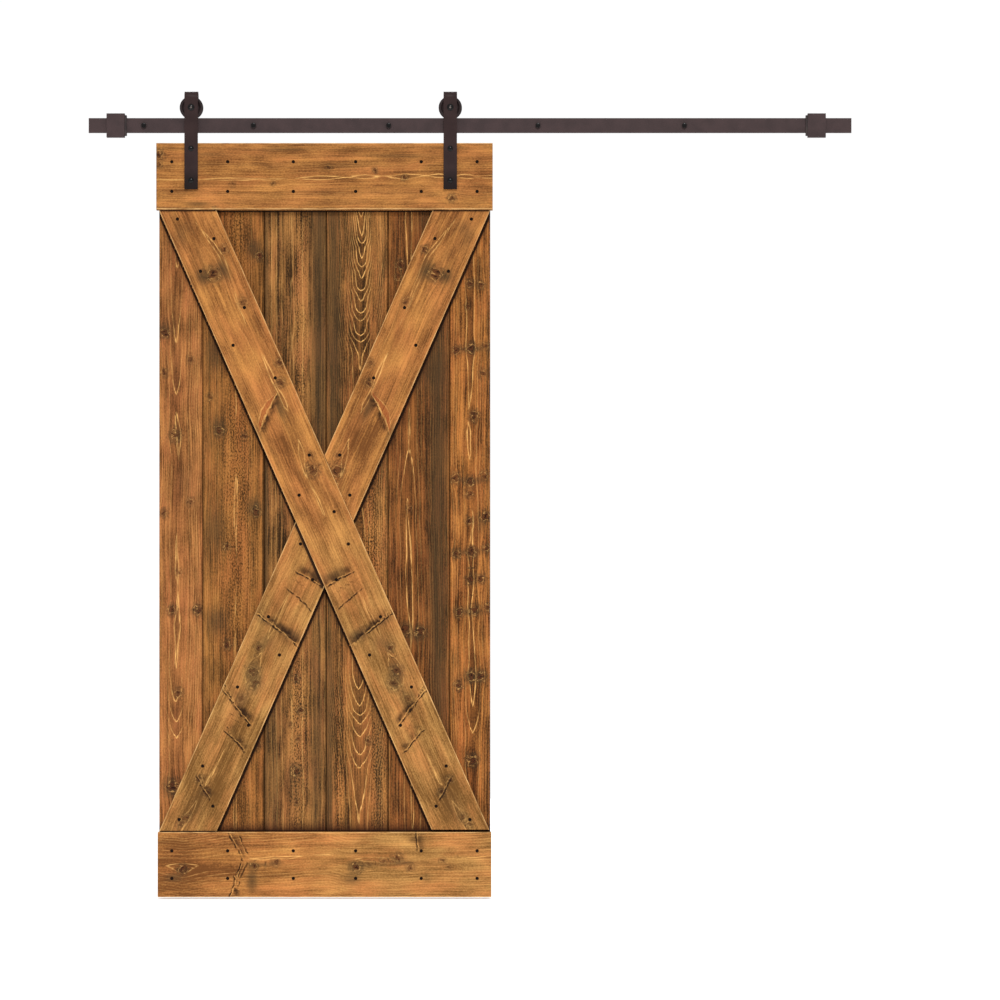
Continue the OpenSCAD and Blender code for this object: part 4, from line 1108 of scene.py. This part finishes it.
def bare(name, colour, dark, rough):
    """Bare or blackened steel with fine turning or drawing marks along one way and dull patches."""
    s = Shader(name)
    marks = s.noise(s.places(), (0.03, 0.0006, 0.0006), 2)
    dull = s.noise(s.places(), 0.012, 3)
    base = s.mix(s.curve(marks, [(0.35, 0), (0.65, 1)]), rgb(*dark), rgb(*colour))
    return s.finish(Base_Color=base, Roughness=dull * 0.3 + (rough - 0.15), Metallic=0.85,
                    Normal=s.bump(marks, 0.00003))


def rubber_material():
    s = Shader("rubber")
    grains = s.noise(s.places(), 0.0012, 3)
    dust = s.noise(s.places(), 0.02, 2)
    base = s.mix(s.curve(dust, [(0.4, 0), (0.7, 1)]), rgb(50, 42, 42), rgb(66, 57, 55))
    return s.finish(Base_Color=base, Roughness=grains * 0.2 + 0.7, Specular_IOR_Level=0.25,
                    Normal=s.bump(grains, 0.00012))


PEEL = 0.00004
BRONZE = coated("bronze_coat", (64, 47, 47), (56, 41, 41), 0.5, PEEL, 0.3)
# The strap darkens towards its foot, a painted shade.
BRONZE_STRAP_PAINTED_SHADE = coated("bronze_strap", (52, 36, 35), (46, 31, 30), 0.5, PEEL, 0.15, foot=(22, 12, 11))
BRONZE_WHEEL = coated("bronze_wheel", (48, 36, 36), (38, 28, 28), 0.42, PEEL, 0.25)
BLACK = coated("black_oxide", (9, 6, 6), (5, 3, 3), 0.24, 0.00001, 0.26)
SCREW_BLACK = coated("screw_black", (26, 12, 5), (16, 7, 3), 0.6, 0.00002, 0.1)
STEEL = bare("bearing_steel", (196, 198, 202), (150, 152, 156), 0.3)
# Bright steel for the floor of the axle's socket, a painted highlight.
SOCKET_HIGHLIGHT = bare("painted_highlight_socket_floor", (150, 138, 132), (110, 102, 98), 0.5)
RUBBER = rubber_material()

BOLT_EASE, PLATE_EASE = 0.3, 0.7


def carry(node, material, width=0.0):
    """Shows a CAD node as it is, with its sharp edges eased by width mm."""
    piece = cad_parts[node]
    piece.data.materials.clear()
    piece.data.materials.append(material)
    if not width:
        return
    weld = piece.modifiers.new("weld", "WELD")
    weld.merge_threshold = 1e-6
    flat = piece.modifiers.new("flat", "DECIMATE")
    flat.decimate_type, flat.angle_limit = "DISSOLVE", math.radians(1)
    bevel = piece.modifiers.new("ease", "BEVEL")
    bevel.width, bevel.segments = width * MM, 2
    bevel.limit_method, bevel.angle_limit = "ANGLE", math.radians(40)
    bevel.harden_normals = True


def lathe(name, profile, x, z, materials, segments=64, ring=False):
    """Turns a profile of (radius, y) in mm about the line along Y through x and z. A ring's profile
    closes on itself, and any other one starts and ends on the axis."""
    n = len(profile)
    vertices, faces = [], []
    for k in range(segments):
        angle = 2 * math.pi * k / segments
        vertices += [((x + r * math.cos(angle)) * MM, y * MM, (z + r * math.sin(angle)) * MM)
                     for r, y in profile]
        here, there = k * n, (k + 1) % segments * n
        faces += [(here + i, here + (i + 1) % n, there + (i + 1) % n, there + i)
                  for i in range(n if ring else n - 1)]
    piece = new_object(name, vertices, faces, materials)
    turn_out(piece, merge=1e-7)
    return piece


def prism(name, flats, x, z, low, high, materials):
    """A six-sided prism along Y, with its size across the flats."""
    return rod(name, flats / 2 / math.cos(math.radians(30)), high - low, (x, (low + high) / 2, z),
               segments=6, materials=materials)


def dome(radius, height, rim, back, steps=10):
    """The profile of a low domed head whose underside is at back, from the middle of its front out."""
    rise = height - rim
    ball = (radius ** 2 + rise ** 2) / (2 * rise)
    spread = math.asin(radius / ball)
    points = [(ball * math.sin(spread * k / steps), back - height + ball * (1 - math.cos(spread * k / steps)))
              for k in range(steps + 1)]
    return points + [(radius, back - 0.3), (radius - 0.3, back)]


DOOR_HEAD_R, DOOR_HEAD_H, DOOR_RIM, DOOR_BOLT_R = 7.7, 4.6, 1, 4.0
AXLE_HEAD_R, AXLE_HEAD_H, AXLE_RIM, AXLE_R = 9.5, 5.5, 1.4, 5.0
SOCKET_FLATS, SOCKET_DEPTH = 6.0, 3.0
SCREW_LENGTH, SCREW_CORE_R, SCREW_TIP = 38.0, 2.2, 7.0
HEX_FLATS, HEX_H, HEX_FACE_R = 13.0, 5.3, 6.2
LAG_NECK_R, LAG_CORE_R, LAG_TIP = 3.8, 3.1, 9


def bolt_profile(head, radius, under, end, chamfer):
    """A head's profile, and on from its underside the shank with a chamfered end."""
    return head + [(radius, under), (radius, end - chamfer), (radius - chamfer, end), (0, end)]


def add_door_bolts(side):
    """The two carriage bolts of a strap, with low polished heads."""
    node = side + "_door_bolts"
    bolts = []
    for low, high in islands(node):
        under = low.y + DOOR_HEAD_H
        head = dome(DOOR_HEAD_R, DOOR_HEAD_H, DOOR_RIM, under)
        bolts.append(lathe("bolt", bolt_profile(head, DOOR_BOLT_R, under, high.y, 0.8), *axis(low, high),
                           [BLACK], 48))
    piece = join(side + "_carriage_bolts", bolts)
    smooth(piece)
    settle(piece, "door", node)


def add_axle_bolt(side):
    """The axle: a round head with a six-sided socket whose bright floor shows as a painted highlight."""
    node = side + "_axle_bolt"
    low, high = low_high(node)
    x, z = axis(low, high)
    under, floor = low.y + AXLE_HEAD_H, low.y + SOCKET_DEPTH
    head = dome(AXLE_HEAD_R, AXLE_HEAD_H, AXLE_RIM, under)
    piece = lathe(side + "_axle", bolt_profile(head, AXLE_R, under, high.y, 1), x, z, [BLACK, SOCKET_HIGHLIGHT])
    cut(piece, prism("socket", SOCKET_FLATS, x, z, low.y - 1, floor, [BLACK, SOCKET_HIGHLIGHT]))
    # The socket floor takes the bright steel, a painted highlight.
    for polygon in piece.data.polygons:
        middle = polygon.center / MM
        if abs(middle.y - floor) < 0.1 and math.hypot(middle.x - x, middle.z - z) < SOCKET_FLATS:
            polygon.material_index = 1
    smooth(piece)
    settle(piece, "door", node)


# The wheel's section in mm from its middle: its dished front, its groove and its back
WHEEL_FRONT = [(11.4, -4), (11.4, -6.9), (11.9, -7.4), (15.6, -7.4), (16.4, -6.5), (23.6, -6.5), (25.2, -8.4),
               (25.9, -9.7), (26.6, -10), (31.8, -10), (32.6, -9.7), (33, -8.9)]
WHEEL_GROOVE = [(33, -4.9), (32.5, -4.5), (29.5, -3.8), (29, -3.3), (29, 3.3), (29.5, 3.8), (32.5, 4.5),
                (33, 4.9)]
WHEEL_BACK = [(33, 8.9), (32.6, 9.7), (31.8, 10), (26.6, 10), (25.9, 9.7), (25.2, 8.4), (23.6, 6.5),
              (13.05, 6.5), (13.05, -4)]


def add_wheel(side):
    """A grooved wheel with a dished side, which stands round its bearing."""
    node = side + "_wheel"
    low, high = low_high(node)
    y = (low.y + high.y) / 2
    profile = [(r, y + out) for r, out in WHEEL_FRONT + WHEEL_GROOVE + WHEEL_BACK]
    piece = lathe(side + "_rolling_wheel", profile, *axis(low, high), [BRONZE_WHEEL], 112, ring=True)
    smooth(piece, 50)
    settle(piece, side + "_wheel_set", node)


def add_wall_bolts():
    """Lag bolts: a six-sided head with its corners turned off, a smooth neck and a coarse thread."""
    bolts, threads = [], []
    for low, high in islands("wall_bolts"):
        x, z = axis(low, high)
        front, under = low.y, low.y + HEX_H
        head = prism("head", HEX_FLATS, x, z, front, under, [BLACK])
        cone = [(0, front), (HEX_FACE_R - 0.2, front), (HEX_FACE_R, front + 0.1),
                (HEX_FACE_R + HEX_H / math.tan(math.radians(30)), under), (0, under)]
        cut(head, lathe("cone", cone, x, z, [BLACK]), "INTERSECT")
        shank = [(0, under - 0.5), (LAG_NECK_R, under - 0.5), (LAG_NECK_R, 0), (LAG_CORE_R, 2),
                 (LAG_CORE_R, high.y - LAG_TIP), (0.3, high.y), (0, high.y)]
        bolts += [head, lathe("shank", shank, x, z, [BLACK], 32)]
        threads.append(thread(x, z, 1.0, high.y - 1.5))
    piece = join("lag_bolts", bolts + threads)
    smooth(piece, 30)
    settle(piece, "root", "wall_bolts")


def thread(x, z, start, end, pitch=3.2, root=3.0, crest=4.0, steps=20):
    """A screw thread's ridge along Y, which shrinks with the point."""
    vertices, faces = [], []
    count = int((end - start) / pitch * steps)
    for k in range(count + 1):
        angle = 2 * math.pi * k / steps
        y = start + pitch * k / steps
        swell = min(1, k / steps, 0.1 + (end - y) / LAG_TIP)
        inner = root * min(1, 0.15 + (end + 1.5 - y) / LAG_TIP)
        outer = inner + (crest - root) * max(swell, 0.02)
        for radius, shift in ((inner - 0.2, -0.9), (outer, -0.15), (outer, 0.15), (inner - 0.2, 0.9)):
            vertices.append(((x + radius * math.cos(angle)) * MM, (y + shift) * MM,
                             (z + radius * math.sin(angle)) * MM))
    for here in range(0, 4 * count, 4):
        faces += [(here + i, here + (i + 1) % 4, here + 4 + (i + 1) % 4, here + 4 + i) for i in range(4)]
    faces += [tuple(range(4)), tuple(range(4 * count, 4 * count + 4))]
    piece = new_object("thread", vertices, faces, [BLACK])
    turn_out(piece)
    return piece


def one_screw(front):
    """A countersunk screw on the Y axis with a cross recess, its head's face at front."""
    profile = [(0, 0), (SCREW_R - 0.3, 0), (SCREW_R, 0.25), (SCREW_CORE_R, 2.2),
               (SCREW_CORE_R, SCREW_LENGTH - SCREW_TIP), (0.3, SCREW_LENGTH - 1), (0, SCREW_LENGTH - 1)]
    screw = lathe("screw", [(r, front + y) for r, y in profile], 0, 0, [SCREW_BLACK], 28)
    for turn in (0, 90):
        arm = rod("arm", 1.0, 5.2, (0, front, 0), "Z", 12)
        arm.data.transform(Matrix.Rotation(math.radians(turn), 4, "Y"))
        cut(screw, arm)
    return screw


def add_screws(board_name):
    """A board's countersunk screws, each sunk a little into its pit and turned its own way."""
    first = one_screw(BOARD_FRONT_Y + SCREW_SINK)
    chance = np.random.default_rng(len(board_name))
    bm = bmesh.new()
    for x, z in screw_spots(board_name):
        copy = first.data.copy()
        turn = Matrix.Rotation(chance.uniform(0, 1.6), 4, "Y")
        copy.transform(Matrix.Translation((x * MM, 0, z * MM)) @ turn)
        bm.from_mesh(copy)
        bpy.data.meshes.remove(copy)
    bpy.data.objects.remove(first)
    piece = from_bmesh(board_name + "_countersunk_screws", bm, [SCREW_BLACK])
    smooth(piece)
    settle(piece, "door", board_name + "_screws")


for board_name in ("top_board", "bottom_board", "main_brace", "upper_brace", "lower_brace"):
    add_screws(board_name)
add_wall_bolts()
carry("rail", BRONZE, PLATE_EASE)
carry("rail_spacers", BRONZE, BOLT_EASE)
carry("wall_bolt_washers", BRONZE, BOLT_EASE)
carry("stop_set_screws", BLACK, BOLT_EASE)
for side in ("left", "right"):
    carry(side + "_stop", BRONZE, PLATE_EASE)
    carry(side + "_stop_buffer", RUBBER, PLATE_EASE)
    carry(side + "_strap", BRONZE_STRAP_PAINTED_SHADE, PLATE_EASE)
    carry(side + "_axle_nut", BLACK, BOLT_EASE)
    carry(side + "_door_washers", BRONZE, BOLT_EASE)
    carry(side + "_door_nuts", BLACK, BOLT_EASE)
    for part in ("_axle_bushes", "_inner_ring", "_outer_ring", "_bearing_balls", "_ball_cage"):
        carry(side + part, STEEL)
    add_door_bolts(side)
    add_axle_bolt(side)
    add_wheel(side)

# ---- Floor ----

FLOOR_GAP = 6.0
FLOOR_DEEP, FLOOR_WIDE = 4.0, 4.5  # how far it reaches from the wall plane, and from the picture's middle


def add_floor():
    """A plain pale floor just below the leaf."""
    s = Shader("pale_floor")
    base = s.mix(s.noise(s.places(), 0.8, 2), rgb(244, 244, 244), rgb(250, 250, 250))
    material = s.finish(Base_Color=base, Roughness=0.9, Emission_Color=base, Emission_Strength=0.45)
    z = (BOTTOM_LOW.z - FLOOR_GAP) * MM
    corners = [(VIEW_X + x * FLOOR_WIDE, y * FLOOR_DEEP, z) for x, y in ((-1, -1), (1, -1), (1, 1), (-1, 1))]
    new_object("floor", corners, [(0, 1, 2, 3)], [material])


add_floor()
